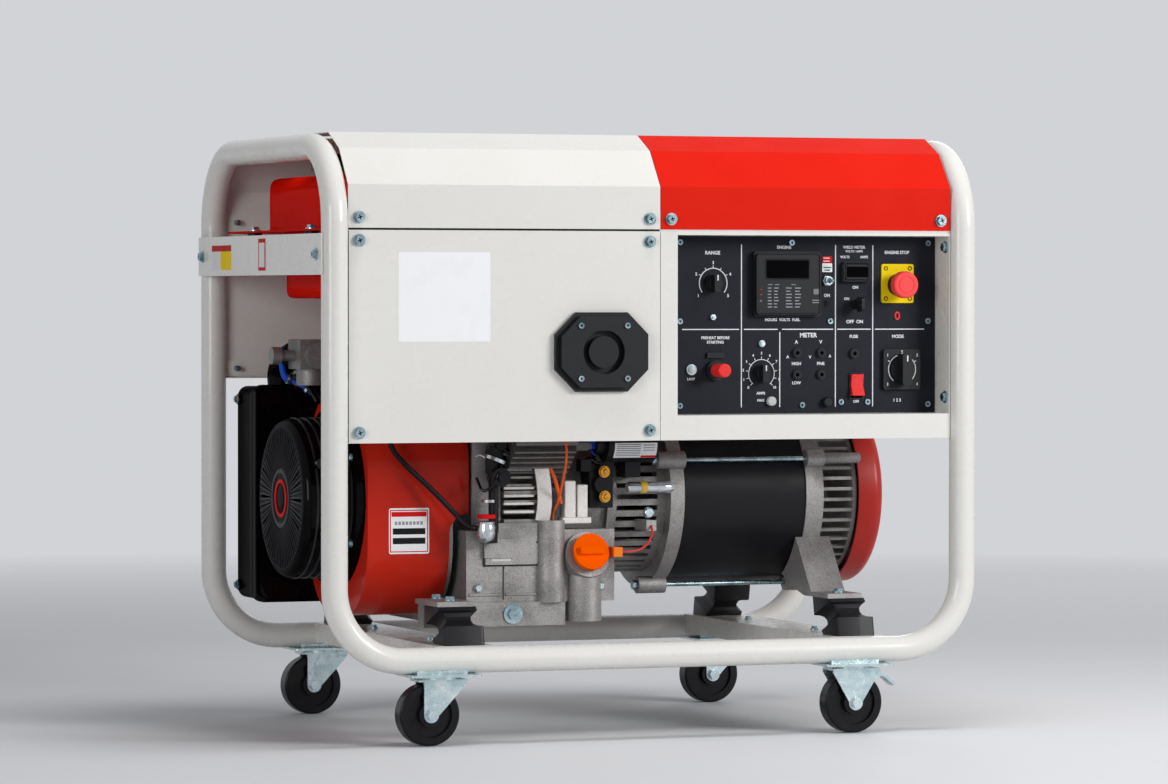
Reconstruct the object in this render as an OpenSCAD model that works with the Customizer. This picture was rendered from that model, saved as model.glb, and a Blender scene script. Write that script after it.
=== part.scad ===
// Engine driven welder in an open tubular frame on casters.
// Millimetres, +Z up, X along the length with the engine's recoil starter at -X,
// the control panel faces -Y. The origin is on the floor under the frame's middle.

/* [Frame] */
// Overall length over end hoops
frame_length = 1018; // [960:2:1100]
// Overall width over end hoops
frame_width = 638; // [600:2:700]
// Height of top of end hoops above floor
frame_height = 878; // [850:1:940]
// Outside diameter of frame tube
tube_d = 38; // [32:1:42]
// Wall of frame tube
tube_wall = 2.5; // [1.5:0.5:4]
// Centreline radius of bend between a leg and bottom rail
foot_bend_r = 104; // [80:1:120]
// Centreline radius of bend between a leg and top of a hoop
arch_bend_r = 110; // [80:1:140]
// Straight tail of a hoop past its bottom bend, up to weld
stub_l = 8; // [4:1:30]
// Width of cross members under rubber mounts
cross_w = 86; // [74:2:100]
// Depth of cross members
cross_h = 30; // [20:1:36]
// Plate thickness of cross members, tank bars and cover rails
plate_t = 3; // [2:0.5:4]
// Width of flat cover rails on each side of a row of bolts
rail_edge = 12; // [9:1:12]

/* [Covers] */
// Sheet thickness of covers and panels
sheet_t = 1.5; // [1:0.25:2]
// Gap between a cover's end and hoop
cover_gap = 1; // [0.5:0.5:3]
// How far cover faces stand in front of tube centres
face_proud = 2; // [0:0.5:6]
// Height of canopy top above hoops
canopy_rise = 2; // [0:0.5:6]
// Length of white half of canopy and of front panel
white_l = 477; // [440:1:500]
// Gap between neighbouring sheets
seam_gap = 1; // [0.5:0.5:3]
// Height of canopy's upright skirt
skirt_h = 62; // [50:1:80]
// Rise of canopy's lower slope
low_slope_rise = 53; // [40:1:60]
// Run of canopy's lower slope
low_slope_run = 42; // [30:1:50]
// Rise of canopy's upper slope
top_slope_rise = 24; // [18:1:30]
// Run of canopy's upper slope
top_slope_run = 50; // [40:1:60]
// Gap between canopy's skirt and panels below it
panel_gap = 3; // [2:0.5:5]
// Height of front panel
front_panel_h = 304; // [280:1:320]
// Height of rear panel
rear_panel_h = 220; // [190:1:260]
// Depth of folded edge along a panel
fold_d = 12; // [8:1:14]
// Diameter of fuel filler's access hole in canopy
filler_hole_d = 112; // [100:1:130]

/* [Control box] */
// Width of upright left of control panel
stile_w = 26.5; // [16:0.5:32]
// Height of ledge under control panel
ledge_h = 36; // [32:1:42]
// Height of strip over control panel
head_strip_h = 5; // [3:0.5:10]
// Depth of control panel behind cover face
recess_d = 50; // [46:1:60]
// Depth of wiring space behind control panel
wiring_d = 108; // [80:1:120]
// Thickness of control panel plate
control_plate_t = 3; // [2:0.5:4]
// Width of lips that control plate is screwed to
lip_w = 30; // [26:1:34]

/* [Controls] */
// Diameter of round selector knobs
knob_d = 27; // [20:0.5:32]
// Height of selector knobs
knob_h = 19; // [14:0.5:24]
// Diameter of emergency stop's mushroom
mushroom_d = 40; // [34:0.5:42]
// Height of mushroom's face above control plate
mushroom_h = 35; // [30:0.5:40]
// Side of emergency stop's yellow plate
stop_plate_w = 52; // [46:1:58]
// Diameter of start button
start_d = 20; // [16:0.5:24]
// Height of start button's face above control plate
start_h = 40; // [30:0.5:44]
// Side of changeover switch's plate
switch_w = 60; // [50:1:64]
// Length of changeover switch's handle
handle_l = 46; // [36:1:54]
// Width of rocker switch
rocker_w = 19; // [15:0.5:22]
// Height of rocker switch
rocker_l = 34; // [26:0.5:38]
// Width of controller module
module_w = 108; // [90:1:112]
// Height of controller module
module_h = 96; // [80:1:100]
// How far controller module stands out
module_t = 13; // [8:0.5:18]
// Width of voltmeter
meter_w = 45; // [36:1:48]
// Height of voltmeter
meter_h = 31; // [24:1:36]
// Diameter of meter jacks' collars
jack_d = 14; // [10:0.5:16]
// Diameter of a meter jack's hole
jack_hole_d = 6; // [4.5:0.5:8]

/* [Receptacle] */
// Width across eight-sided receptacle
socket_w = 143; // [120:1:150]
// Height across eight-sided receptacle
socket_h = 115; // [100:1:125]
// Length cut off each corner of receptacle
socket_cut = 32; // [20:1:40]
// How far receptacle stands out
socket_t = 16; // [10:0.5:22]
// Diameter of receptacle's round socket
socket_d = 64; // [54:1:72]
// Depth of receptacle's round socket
socket_depth = 12; // [8:0.5:14]

/* [Fuel tank] */
// Height of tank bars
tank_bar_h = 59; // [50:1:66]
// Height of tank bars' top edge above floor
bar_top = 733; // [720:1:745]
// Length of tank's rim flange
tank_flange_l = 440; // [400:2:460]
// Width of tank's rim flange
tank_flange_w = 520; // [480:2:540]
// Width of tank's upper half
tank_w = 340; // [300:2:400]
// Height of tank's upper half above flange
tank_top_h = 80; // [60:1:85]
// Width of tank's lower half
tank_pan_w = 240; // [200:2:300]
// Depth of tank's lower half below flange
tank_pan_h = 98; // [80:1:104]
// Wall of tank
tank_wall = 2; // [1.5:0.25:3]
// Diameter of fuel cap
fuel_cap_d = 76; // [60:1:86]
// Height of fuel cap
fuel_cap_h = 24; // [18:1:30]

/* [Engine] */
// Height of shaft above floor
shaft_z = 345; // [335:1:355]
// Distance of recoil cover's face from middle of frame
recoil_face_x = 476; // [460:1:480]
// Diameter of recoil cover's body
recoil_d = 236; // [228:2:240]
// Depth of recoil cover
recoil_l = 74; // [60:1:80]
// Diameter of ring that holds recoil cover
ring_d = 266; // [262:2:270]
// Width of that ring
ring_t = 14; // [8:1:18]
// Width of blower housing
blower_w = 284; // [276:2:290]
// Height of blower housing
blower_h = 328; // [310:2:334]
// Length of blower housing
blower_l = 140; // [120:2:150]
// Wall of blower housing
blower_wall = 2; // [1.5:0.5:3]
// Diameter of flywheel fan
flywheel_d = 210; // [190:2:220]
// Length of crankcase
case_l = 246; // [236:2:256]
// Width of crankcase's lower part
sump_w = 330; // [300:2:340]
// Diameter of crankcase barrel
case_d = 216; // [200:2:224]
// Height of engine's base bar
base_bar_h = 35; // [28:1:40]
// Lean of each cylinder from upright
lean = 50; // [46:1:52]
// Side of square cylinder fins
fin_w = 150; // [130:2:154]
// Length of finned block along shaft
fin_l = 96; // [86:2:104]
// Pitch of cylinder fins
fin_pitch = 12; // [10:0.5:13]
// Thickness of a cylinder fin
fin_t = 4; // [3:0.5:5]
// Number of cylinder fins
fin_count = 8; // [6:1:8]
// Diameter of crankshaft
crankshaft_d = 40; // [34:1:44]
// Diameter of oil filler cap
oil_cap_d = 55; // [46:1:58]
// Width of air filter box along frame
filter_l = 138; // [120:2:146]
// Depth of air filter box
filter_w = 84; // [76:2:92]
// Depth of air filter's lid
filter_lid_w = 20; // [14:1:26]
// Height of air filter box
filter_h = 322; // [300:2:330]
// Outside diameter of fuel hose
hose_d = 8; // [6:0.5:10]
// Diameter of muffler
muffler_d = 120; // [100:2:130]
// Length of muffler
muffler_l = 250; // [220:2:280]

/* [Alternator] */
// Outside diameter of stator shroud
stator_d = 278; // [268:2:284]
// Length of stator shroud
stator_l = 197; // [180:1:210]
// Length of adapter between engine and stator
adapter_l = 114; // [104:1:118]
// Width of end bracket's ring
bracket_ring_l = 28; // [20:1:34]
// Length of end bracket's louvres
louvre_l = 60; // [50:1:64]
// Diameter of louvred part
louvre_d = 256; // [246:2:262]
// Number of louvre slots around end bracket
louvre_count = 50; // [40:2:50]
// Length of red end cover
end_l = 43; // [36:1:50]
// Diameter of red end cover
end_d = 278; // [268:2:282]
// Diameter of rotor
rotor_d = 150; // [130:2:160]
// Diameter of alternator's end bearing housing
bearing_d = 62; // [56:1:70]
// Radial running clearance of shaft in its bearings
fit_gap = 0.05; // [0.02:0.01:0.1]

/* [Mounts] */
// Distance of engine's rubber mounts left of middle
engine_x = 288; // [280:1:296]
// Distance of alternator's rubber mounts right of middle
gen_x = 325; // [318:1:332]
// Distance of rubber mounts from shaft's plane
mount_y = 220; // [212:1:228]
// Height of a rubber mount
rubber_h = 54; // [48:1:58]
// Side of a rubber mount's end plates
rubber_w = 60; // [52:1:64]
// Side of a rubber mount's waist
rubber_waist = 38; // [30:1:44]

/* [Casters] */
// Height of caster plates' top above floor
caster_h = 103; // [101:1:110]
// Diameter of caster wheels
wheel_d = 90; // [84:1:90]
// Width of caster wheels
wheel_w = 28; // [22:1:30]
// Length of a caster plate
caster_plate_l = 108; // [96:1:116]
// Width of a caster plate
caster_plate_w = 76; // [66:1:84]
// Spacing of a caster plate's holes along its length
caster_hole_l = 84; // [76:1:90]
// Spacing of a caster plate's holes across its width
caster_hole_w = 58; // [50:1:62]
// Diameter of a caster plate's holes
caster_hole_d = 8.5; // [7:0.5:9]
// Trail of swivel casters
caster_trail = 18; // [12:1:24]
// Trail of braked caster
braked_trail = 1; // [0:1:6]
// Diameter of caster axles
axle_d = 10; // [8:0.5:12]
// Distance of front left caster left of middle
caster_x_front_left = 333; // [300:1:336]
// Distance of rear left caster left of middle
caster_x_rear_left = 317; // [300:1:336]
// Distance of front right caster right of middle
caster_x_front_right = 311; // [300:1:336]
// Distance of rear right caster right of middle
caster_x_rear_right = 345; // [320:1:350]

/* [Fasteners] */
// Flange diameter of cover bolts
bolt_flange_d = 18; // [15:0.5:20]
// Width across flats of cover bolts
bolt_af = 12; // [10:0.5:13]
// Shank diameter of cover bolts
bolt_d = 8; // [6:0.5:8]
// Length of cover bolts' shank
bolt_l = 14; // [12:1:20]
// Head diameter of panel screws
screw_head_d = 8.5; // [7:0.5:10]
// Shank diameter of panel screws
screw_d = 4; // [3:0.5:5]
// Length of panel screws' shank
screw_l = 8; // [6:1:12]
// Clearance of a bolt or screw in a sheet's hole, on diameter
hole_play = 1; // [0.5:0.25:1.5]
// Distance of a cover bolt from sheet's lower or upper edge
bolt_inset_z = 15; // [15:0.5:18]
// Distance of a cover bolt from sheet's end
bolt_inset_x = 16; // [14:0.5:20]

/* [Hidden] */
$fn = 64;
eps = 0.01;

// Colours as the photograph shows them
cream = [0.87, 0.86, 0.84];
bright_red = [0.90, 0.13, 0.07];
deep_red = [0.62, 0.09, 0.06];
black = [0.14, 0.15, 0.18];
zinc = [0.72, 0.78, 0.80];
casting = [0.66, 0.65, 0.63];
rubber = [0.08, 0.08, 0.09];

// Frame
tube_r = tube_d / 2;
leg_x = (frame_length - tube_d) / 2;
leg_y = (frame_width - tube_d) / 2;
rail_z = caster_h + tube_r;
rail_top = rail_z + tube_r;
arch_z = frame_height - tube_r;
rail_end = leg_x - foot_bend_r - stub_l;
leg_outer_x = leg_x + tube_r;
// Where a plate of the cross member's thickness, flush with the rail's top, meets the tube
seat_y = leg_y - sqrt(pow(tube_r, 2) - pow(tube_r - plate_t, 2));

// Covers
cover_x = leg_x - tube_r - cover_gap;
face_y = leg_y + face_proud;
split_x = white_l - cover_x;
canopy_top = frame_height + canopy_rise;
shoulder_z = canopy_top - top_slope_rise;
eave_z = shoulder_z - low_slope_rise;
skirt_z = eave_z - skirt_h;
panel_top = skirt_z - panel_gap;
front_z0 = panel_top - front_panel_h;
rear_bottom = panel_top - rear_panel_h;
rail_y = face_y - sheet_t;
white_end = split_x - seam_gap / 2;
red_start = split_x + seam_gap / 2;
hood_bolt_z = skirt_z + bolt_inset_z;
panel_bolt_z = panel_top - bolt_inset_z;
upper_rail_top = hood_bolt_z + rail_edge;
upper_rail_low = panel_bolt_z - rail_edge;
white_xs = [-cover_x + bolt_inset_x, white_end - bolt_inset_x];
red_xs = [red_start + bolt_inset_x, cover_x - bolt_inset_x];
front_zs = [front_z0 + bolt_inset_z, panel_bolt_z];
rear_zs = [rear_bottom + bolt_inset_z, panel_bolt_z];
vent_count = 6;
vent_l = 150;
vent_h = 8;
vent_pitch = 20;
rear_xs = [-cover_x + bolt_inset_x, 0, cover_x - bolt_inset_x];
bolt_hole = bolt_d + hole_play;
screw_hole = screw_d + hole_play;

// Control box: the window is the opening in its front
win_x0 = red_start + stile_w;
win_x1 = cover_x - sheet_t;
win_z0 = front_z0 + ledge_h;
win_z1 = panel_top - head_strip_h;
control_y = face_y - recess_d;
box_back_y = control_y - wiring_d;
plate_back_y = control_y - control_plate_t;
plate_gap = 1;
px0 = win_x0 + plate_gap;
px1 = win_x1 - plate_gap;
pz0 = win_z0 + plate_gap;
pz1 = win_z1 - plate_gap;
box_zs = [win_z0 + 24, win_z1 - 16];
box_bolt_y = recess_d / 4 - face_y;
box_bolt_l = sheet_t + 1;
// Where things sit on the control plate, from its edges
row_split_z = pz0 + 124;
range_knob_at = [px0 + 75, pz1 - 69];
range_nut_at = [px0 + 74, pz1 - 119];
module_at = [px0 + 190, pz1 - 70];
toggle_at = [px1 - 175, pz1 - 65];
meter_at = [px1 - 130, pz1 - 52];
key_at = [px1 - 130, pz1 - 100];
estop_at = [px1 - 62, pz1 - 71];
lamp_at = [px0 + 40, pz0 + 65];
start_at = [px0 + 78, pz0 + 64];
small_lamp_at = [px0 + 152, pz0 + 103];
amp_knob_at = [px0 + 152, pz0 + 59];
pilot_at = [px0 + 167, pz0 + 18];
jacks_at = [for (x = [208, 247], z = [57, 89]) [px0 + x, pz0 + z]];
trim_knob_at = [px0 + 256, pz0 + 16];
round_socket_at = [px1 - 132, pz0 + 88];
rocker_at = [px1 - 128, pz0 + 40];
switch_at = [px1 - 56, pz0 + 64];
screw_inset = 12;
screw_rows = [pz0 + screw_inset, row_split_z + screw_inset, pz1 - screw_inset + 3];
plate_screws = [
  for (z = screw_rows) each [[px0 + 22, z], [px1 - screw_inset, z]],
  [px0 + 217, screw_rows[0]], [px1 - 153, screw_rows[0] + 4],
  [px1 - 110, screw_rows[0] + 4], [px0 + 262, screw_rows[1]],
  [px0 + 200, screw_rows[2]]
];
// Knob stems and the moving parts of the controls
stem_d = 6;
stem_l = 12;
stem_gap = 0.4;
stem_hole = stem_d + 2 * fit_gap;
stop_stem_d = 22;
stop_collar_h = 12;
estop_plate_t = 3;
cap_head_h = 13;
start_ring_d = start_d + 10;
collar_h = 8;
label_block_w = 27;
label_block_t = 4;
switch_t = 6;
handle_h = 20;
bezel_t = 2;
rocker_depth = 14;
rocker_proud = 9;
rocker_rest = -9;
cheek_t = 2;
ball_d = 8;
toggle_l = 17;
bushing_d = 12;
bushing_h = 9;
key_plug_d = 10;
key_barrel_d = 14;
key_barrel_h = 9;
key_bow_w = 20;
key_w = 7;
key_t = 2.4;
jack_h = 5;
meter_t = 8;

// Receptacle
socket_at = [white_end - 93, front_z0 + 129];
socket_body_d = socket_d + 6;
socket_body_l = 34;
socket_step = 6;
socket_screw = [socket_w / 4, socket_h / 3];

// Fuel tank
flange_t = 3;
pad_h = 5;
pad_d = 22;
tank_left = -(leg_x - 4);
tank_right = tank_left + tank_flange_l;
flange_z = bar_top + pad_h;
body_z = flange_z + flange_t;
tank_rim = 30;
tank_top_z = body_z + tank_top_h;
tank_corner = 30;
tank_pan_z = flange_z - tank_pan_h;
pan_rim = tank_rim + 16;
pan_corner = 20;
bar_flange_w = 48;
bar_outer_x = -(leg_outer_x + plate_t);
right_bar_x = tank_right + 6;
tank_inset = 13;
tank_bolt_y = tank_flange_w / 2 - 120;
tank_bolts = [
  for (x = [tank_left + tank_inset, tank_right - tank_inset], y = [-tank_bolt_y, tank_bolt_y])
    [x, y]
];
filler_x = tank_left + 96;
neck_d = fuel_cap_d - 18;
neck_h = 14;
cap_lift = 8;
outlet_at = [-350, -60];
outlet_l = 8;
bar_bolt_y = leg_y - 16;
bar_bolt_z = bar_top - tank_bar_h / 2;
bar_reach = 4;

// Engine and shaft line, from left to right
ring_x = recoil_l - recoil_face_x;
ring_bolt_d = 6;
ring_bolt_hole_d = ring_bolt_d + hole_play;
ring_angles = [30:60:330];
ring_bolt_r = ring_d / 2 - 7.5;
recoil_wall = 3;
recoil_round = 12;
recoil_hub_d = 80;
slot_count = 44;
slot_w = 4;
rope_d = 4;
rope_x = ring_x - recoil_l / 2;
rope_z = shaft_z + 55;
rope_boss_y = recoil_d / 2 - 4;
rope_wall_y = rope_boss_y - 14;
rope_tail_y = 80;
grip_l = 50;
grip_w = 22;
grip_h = 16;
blower_x = ring_x + ring_t;
blower_drop = 9;
blower_round = 110;
blower_step = 16;
blower_fillet = 30;
blower_low = blower_l - blower_step + 2;
wheel_x = blower_x + 48;
flywheel_l = 20;
blade_l = 26;
blade_count = 18;
case_x = blower_x + blower_l - 2;
case_end = case_x + case_l;
case_wall = 11;
stator_x = case_end + adapter_l;
stator_end = stator_x + stator_l;
louvre_x = stator_end + bracket_ring_l;
cover_start = louvre_x + louvre_l;
cover_end = cover_start + end_l;
seat_z = rail_top + rubber_h;
base_z = seat_z - base_bar_h;
base_x0 = blower_x + blower_low;
base_x1 = case_x + 158;
base_half_w = sump_w / 2 + 7;
base_bolt_x = case_x + 76;
sump_top = shaft_z - 45;
ear_w = 26;
ear_bolt_y = base_half_w - ear_w / 2;
shaft_bore_d = crankshaft_d + 2 * fit_gap;
side_fin_y = sump_w / 2 - 3;
side_fin_pitch = 14;
baffle_y = sump_w / 2 - 13;
column_x = case_x + 138;
column_top = sump_top + 14;
cap_neck_x = case_x + 191;
cap_neck_y = sump_w / 2 + 24;
cap_neck_z = shaft_z - 78;
cap_tilt = 20;
cap_skirt = 8;
oil_neck_d = 40;
cyl_x = case_x + 117;
barrel_d = 92;
first_fin = case_d / 2 + 4;
head_s = first_fin + fin_pitch * fin_count;
head_l = 32;
rocker_l_s = 36;
crank_x0 = blower_x + 4;
crank_x1 = stator_x + 8;
web_gap = 30;
web_t = 20;
web_r = 76;
throw_r = 34;
// Middle of a cylinder head in the Y-Z plane, where the pipes meet it
head_y = (head_s + head_l / 2) * sin(lean);
head_z = shaft_z + (head_s + head_l / 2) * cos(lean);
manifold_d = 30;
port_off = 50;
manifold_y = head_y - port_off * cos(lean);
manifold_z = head_z + port_off * sin(lean);
carb_x = blower_x - 24;
carb_y = 55;
carb_z = shaft_z + 210;
exhaust_d = 32;
muffler_x = case_end + 112;
muffler_z = head_z + 30;
tail_d = 38;
tail_l = 104;

// Engine fittings, hoses and leads
bowl_d = 26;
bowl_at = [case_x + 34, -(sump_w + bowl_d) / 2 - 7, sump_top - 3];
tap_x = case_x + 44;
tap_z = shaft_z + 34;
starter_d = 56;
starter_y = 148;
starter_z = shaft_z + 81;
starter_x0 = case_end - 20;
starter_x1 = case_end + 58;
terminal_x = case_end + 56;
terminal_y = 152;
terminal_z = shaft_z - 42;
plug_x = case_end - 20;
plug_l = 14;
hose_start = [outlet_at[0], outlet_at[1], tank_pan_z - outlet_l];
hose_end = [bowl_at[0] - bowl_d / 2 - 6, bowl_at[1], bowl_at[2] + 8];
hose_path = [
  hose_start, hose_start - [0, 0, 7], hose_start - [0, 0, 14],
  [-354, -88, 574], [-360, -120, 534], [-364, -144, 494],
  [-363, -154, 456], [-356, -156, 424], [-338, -158, 400], [-310, -160, 374], [-284, -166, 348],
  [-260, -174, 322], hose_end - [10, 0, -2], hose_end
];
lead_d = 3.5;
lead_start = [plug_x + plug_l, -cap_neck_y, cap_neck_z];
lead_end = [terminal_x, -terminal_y, terminal_z];
red_path = [
  lead_start, lead_start + [10, 0, 0], [18, -186, 269], [34, -178, 276], [46, -168, 288],
  lead_end - [2, 8, 6], lead_end
];
orange_end = [column_x + 5, 4 - sump_w / 2, column_top];
orange_path = [
  [-116, -236, 446], [-114, -236, 420], [-110, -222, 396], [-106, -196, 368], [-104, -174, 342],
  orange_end + [0, 0, 10], orange_end
];

// Filter box
filter_x0 = -(leg_x - tube_r - 3);
filter_y = blower_w / 2 + filter_lid_w + filter_w;
filter_z0 = shaft_z - 160;
filter_corner = 16;
filter_wall = 3;
filter_bolts_z = [filter_z0 + 20, filter_z0 + filter_h - 20];

// Alternator
adapter_d = 236;
adapter_wall = 5;
adapter_slots = 44;
adapter_rim = 22;
shroud_t = 2;
core_inset = 30;
core_l = stator_l - 2 * core_inset + 3;
air_gap = 1;
journal_d = 25;
bearing_x = louvre_x;
bearing_l = 17;
bracket_wall = 5;
cover_round = 16;
rod_r = stator_d / 2 + 7;
rod_d = 7;
rod_angles = [22, 112, 202, 292];
lug_d = 26;
lug_l = 44;
foot_t = 7;
foot_w = 60;

// Casters: corner name, x, y sign, trail
casters = [
  [-caster_x_front_left, -1, caster_trail], [-caster_x_rear_left, 1, caster_trail],
  [caster_x_front_right, -1, braked_trail], [caster_x_rear_right, 1, caster_trail]
];
caster_t = 3;
saddle_l = 76;
saddle_w = 30;
saddle_h = 5;
race_d = 56;
race_h = 4.3;
race_bottom = caster_h - caster_t - race_h;
crown_t = 3;
crown_w = 74;
crown_top = race_bottom - fit_gap;
kingpin_d = 14;
fork_t = 3;
fork_y = wheel_w / 2 + 3.5;
hub_d = 34;
axle_z = wheel_d / 2;
fork_boss_r = 11;
pedal_pivot = [34, 88];
pedal_pin_d = 5;
pedal_w = 24;

// ---- Helpers ----

module up(h) translate([0, 0, h]) children();

module cyl(d, h) cylinder(d = d, h = h);

// Copies at the four corners of a rectangle
module four(a, b) for (i = [-1, 1], j = [-1, 1]) translate([i * a, j * b, 0]) children();

// A block between two corners given as [low, high] pairs
module block(x, y, z)
  translate([x[0], y[0], z[0]]) cube([x[1] - x[0], y[1] - y[0], z[1] - z[0]]);

// A rod along X
module rod_x(d, x0, x1) translate([x0, 0, 0]) rotate([0, 90, 0]) cyl(d, x1 - x0);

// A rod along Y
module rod_y(d, y0, y1) translate([0, y0, 0]) rotate([-90, 0, 0]) cyl(d, y1 - y0);

// A pipe along X
module pipe_x(d, bore, x0, x1) difference() {
  rod_x(d, x0, x1);
  rod_x(bore, x0 - 1, x1 + 1);
}

// A (y, z) outline carried along X
module along_x(x0, x1)
  translate([x0, 0, 0]) rotate([90, 0, 90]) linear_extrude(x1 - x0) children();

// An (x, z) outline carried along Y
module along_y(y0, y1)
  translate([0, y1, 0]) rotate([90, 0, 0]) linear_extrude(y1 - y0) children();

// Local +Z out of the front (-Y), the rear (+Y) or the left (-X), local +Y up
module to_front(x, z, y = -face_y) translate([x, y, z]) rotate([90, 0, 0]) children();
module to_rear(x, z, y = face_y) translate([x, y, z]) rotate([90, 0, 180]) children();
module to_left(y, z, x) translate([x, y, z]) rotate([90, 0, -90]) children();

// On the shaft line
module on_shaft() up(shaft_z) children();

// Both sides of the X-Z plane
module both_sides() {
  children();
  mirror([0, 1, 0]) children();
}

// A rectangle with round corners, centred
module rrect(w, h, r) {
  square([w - 2 * r, h], center = true);
  square([w, h - 2 * r], center = true);
  four(w / 2 - r, h / 2 - r) circle(r);
}

// A rectangle with its corners cut off, centred
module cut_rect(w, h, c) intersection() {
  square([w, h], center = true);
  rotate(45) square((w + h - 2 * c) / sqrt(2), center = true);
}

// The left-hand normal of a segment, and an open outline moved sideways by d with mitred corners
function normal(a, b) = let (u = (b - a) / norm(b - a)) [-u[1], u[0]];
function moved(p, d) = [
  for (i = [0:len(p) - 1])
    let (a = normal(p[max(i - 1, 0)], p[max(i, 1)]),
         b = normal(p[min(i, len(p) - 2)], p[min(i + 1, len(p) - 1)]))
      p[i] + d * (a + b) / (1 + a * b)
];
function reversed(p) = [for (i = [len(p) - 1:-1:0]) p[i]];
// A line carried on by its own mirror image
function both_ways(p) = concat(p, [for (q = reversed(p)) [-q[0], q[1]]]);
// A folded sheet's cross-section from its outer line
function folded(p, t) = concat(p, reversed(moved(p, t)));

// A tube swept along points: rings of `sides` points square to the route, closed at its ends;
// `ref` is a direction that the route never takes
function route_dir(p, i) = let (d = p[min(i + 1, len(p) - 1)] - p[max(i - 1, 0)]) d / norm(d);
function ring_at(p, i, r, sides, ref) =
  let (t = route_dir(p, i), a = cross(t, ref), u = a / norm(a), v = cross(t, u))
    [for (k = [0:sides - 1]) p[i] + r * (cos(360 * k / sides) * u + sin(360 * k / sides) * v)];
module swept(p, d, ref, sides = 10) {
  n = len(p);
  points = [for (i = [0:n - 1]) each ring_at(p, i, d / 2, sides, ref)];
  walls = [
    for (i = [0:n - 2], k = [0:sides - 1])
      let (a = i * sides + k, b = i * sides + (k + 1) % sides)
        each [[a, a + sides, b + sides], [a, b + sides, b]]
  ];
  ends = [[for (k = [0:sides - 1]) k], [for (k = [sides - 1:-1:0]) (n - 1) * sides + k]];
  polyhedron(points, concat(ends, walls), convexity = 6);
}
// A route made finer by a Catmull-Rom curve through its points
function curve_point(a, b, c, d, t) =
  0.5 * ((2 * b) + (c - a) * t + (2 * a - 5 * b + 4 * c - d) * t * t
    + (3 * b - a - 3 * c + d) * t * t * t);
function smooth_route(p, steps) = concat(
  [
    for (i = [0:len(p) - 2], s = [0:steps - 1])
      curve_point(p[max(i - 1, 0)], p[i], p[i + 1], p[min(i + 2, len(p) - 1)], s / steps)
  ],
  [p[len(p) - 1]]
);

// A flanged hexagon bolt: its seat is at z = 0, its head above, its shank below
module hexbolt(length, d = bolt_d, flange = bolt_flange_d, af = bolt_af) {
  cyl(flange, 2);
  up(2) cylinder(d = af / cos(30), h = d * 0.55, $fn = 6);
  if (length > 0) up(-length) cyl(d, length);
}

// A round-headed screw with a cross recess
module panel_screw(length = screw_l) {
  difference() {
    cyl(screw_head_d, 2.6);
    for (turn = [0, 90])
      rotate(turn) up(2.2) cube([screw_head_d * 0.6, 1.2, 1.6], center = true);
  }
  up(-length) cyl(screw_d, length);
}

// ---- Frame ----

module tube_section() difference() {
  circle(d = tube_d);
  circle(d = tube_d - 2 * tube_wall);
}

module hoop() {
  leg_low = rail_z + foot_bend_r;
  leg_high = arch_z - arch_bend_r;
  arch_y = leg_y - arch_bend_r;
  both_sides() {
    translate([leg_x, leg_y, leg_low]) linear_extrude(leg_high - leg_low) tube_section();
    translate([leg_x - foot_bend_r, leg_y, leg_low]) rotate([90, 0, 0]) rotate([0, 0, -90])
      rotate_extrude(angle = 90) translate([foot_bend_r, 0]) tube_section();
    translate([0, leg_y, rail_z]) along_x(rail_end, rail_end + stub_l) tube_section();
    translate([leg_x, arch_y, leg_high]) rotate([90, 0, 90])
      rotate_extrude(angle = 90) translate([arch_bend_r, 0]) tube_section();
  }
  translate([leg_x, 0, arch_z]) along_y(-arch_y, arch_y) tube_section();
}

module left_hoop() color(cream) mirror([1, 0, 0]) hoop();
module right_hoop() color(cream) hoop();

module cross_member(x) difference() {
  translate([x, 0, 0]) along_y(-seat_y, seat_y) difference() {
    translate([-cross_w / 2, rail_top - cross_h])
      square([cross_w, cross_h]);
    translate([-cross_w / 2 + plate_t, rail_top - cross_h - 1])
      square([cross_w - 2 * plate_t, cross_h - plate_t + 1]);
  }
  both_sides() translate([0, leg_y, rail_z]) rod_x(tube_d - tube_wall, -leg_x, leg_x);
  for (y = [-mount_y, mount_y])
    translate([x, y, rail_top - 2 * plate_t]) cyl(bolt_hole, 3 * plate_t);
}

module bolt_holes_y(xs, zs) for (x = xs, z = zs)
  translate([x, 0, z]) rod_y(bolt_hole, rail_y - plate_t - 1, face_y + 1);

module upper_rail(xs, low_end) difference() {
  union() {
    block([-cover_x - cover_gap, cover_x + cover_gap],
      [rail_y - plate_t, rail_y], [panel_top, upper_rail_top]);
    block([-cover_x - cover_gap, low_end],
      [rail_y - plate_t, rail_y], [upper_rail_low, upper_rail_top]);
  }
  bolt_holes_y(concat(white_xs, red_xs), [hood_bolt_z]);
  bolt_holes_y(xs, [panel_bolt_z]);
}

module lower_rail(xs, bolt_z) difference() {
  block([-cover_x - cover_gap, cover_x + cover_gap], [rail_y - plate_t, rail_y],
    [bolt_z - rail_edge, bolt_z + rail_edge]);
  bolt_holes_y(xs, [bolt_z]);
}

module frame_rails() color(cream) {
  both_sides() translate([0, leg_y, rail_z]) along_x(-rail_end, rail_end) tube_section();
  cross_member(-engine_x);
  cross_member(gen_x);
  mirror([0, 1, 0]) upper_rail(white_xs, white_end);
  mirror([0, 1, 0]) lower_rail(white_xs, front_zs[0]);
  upper_rail(rear_xs, cover_x + cover_gap);
  lower_rail(rear_xs, rear_zs[0]);
}

// An angle bar with its web outside and its flange toward the tank's middle
module tank_bar(web_y, flange_y) {
  block([0, plate_t], [-web_y, web_y], [bar_top - tank_bar_h, bar_top]);
  block([0, bar_flange_w], [-flange_y, flange_y], [bar_top - plate_t, bar_top]);
}

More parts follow.
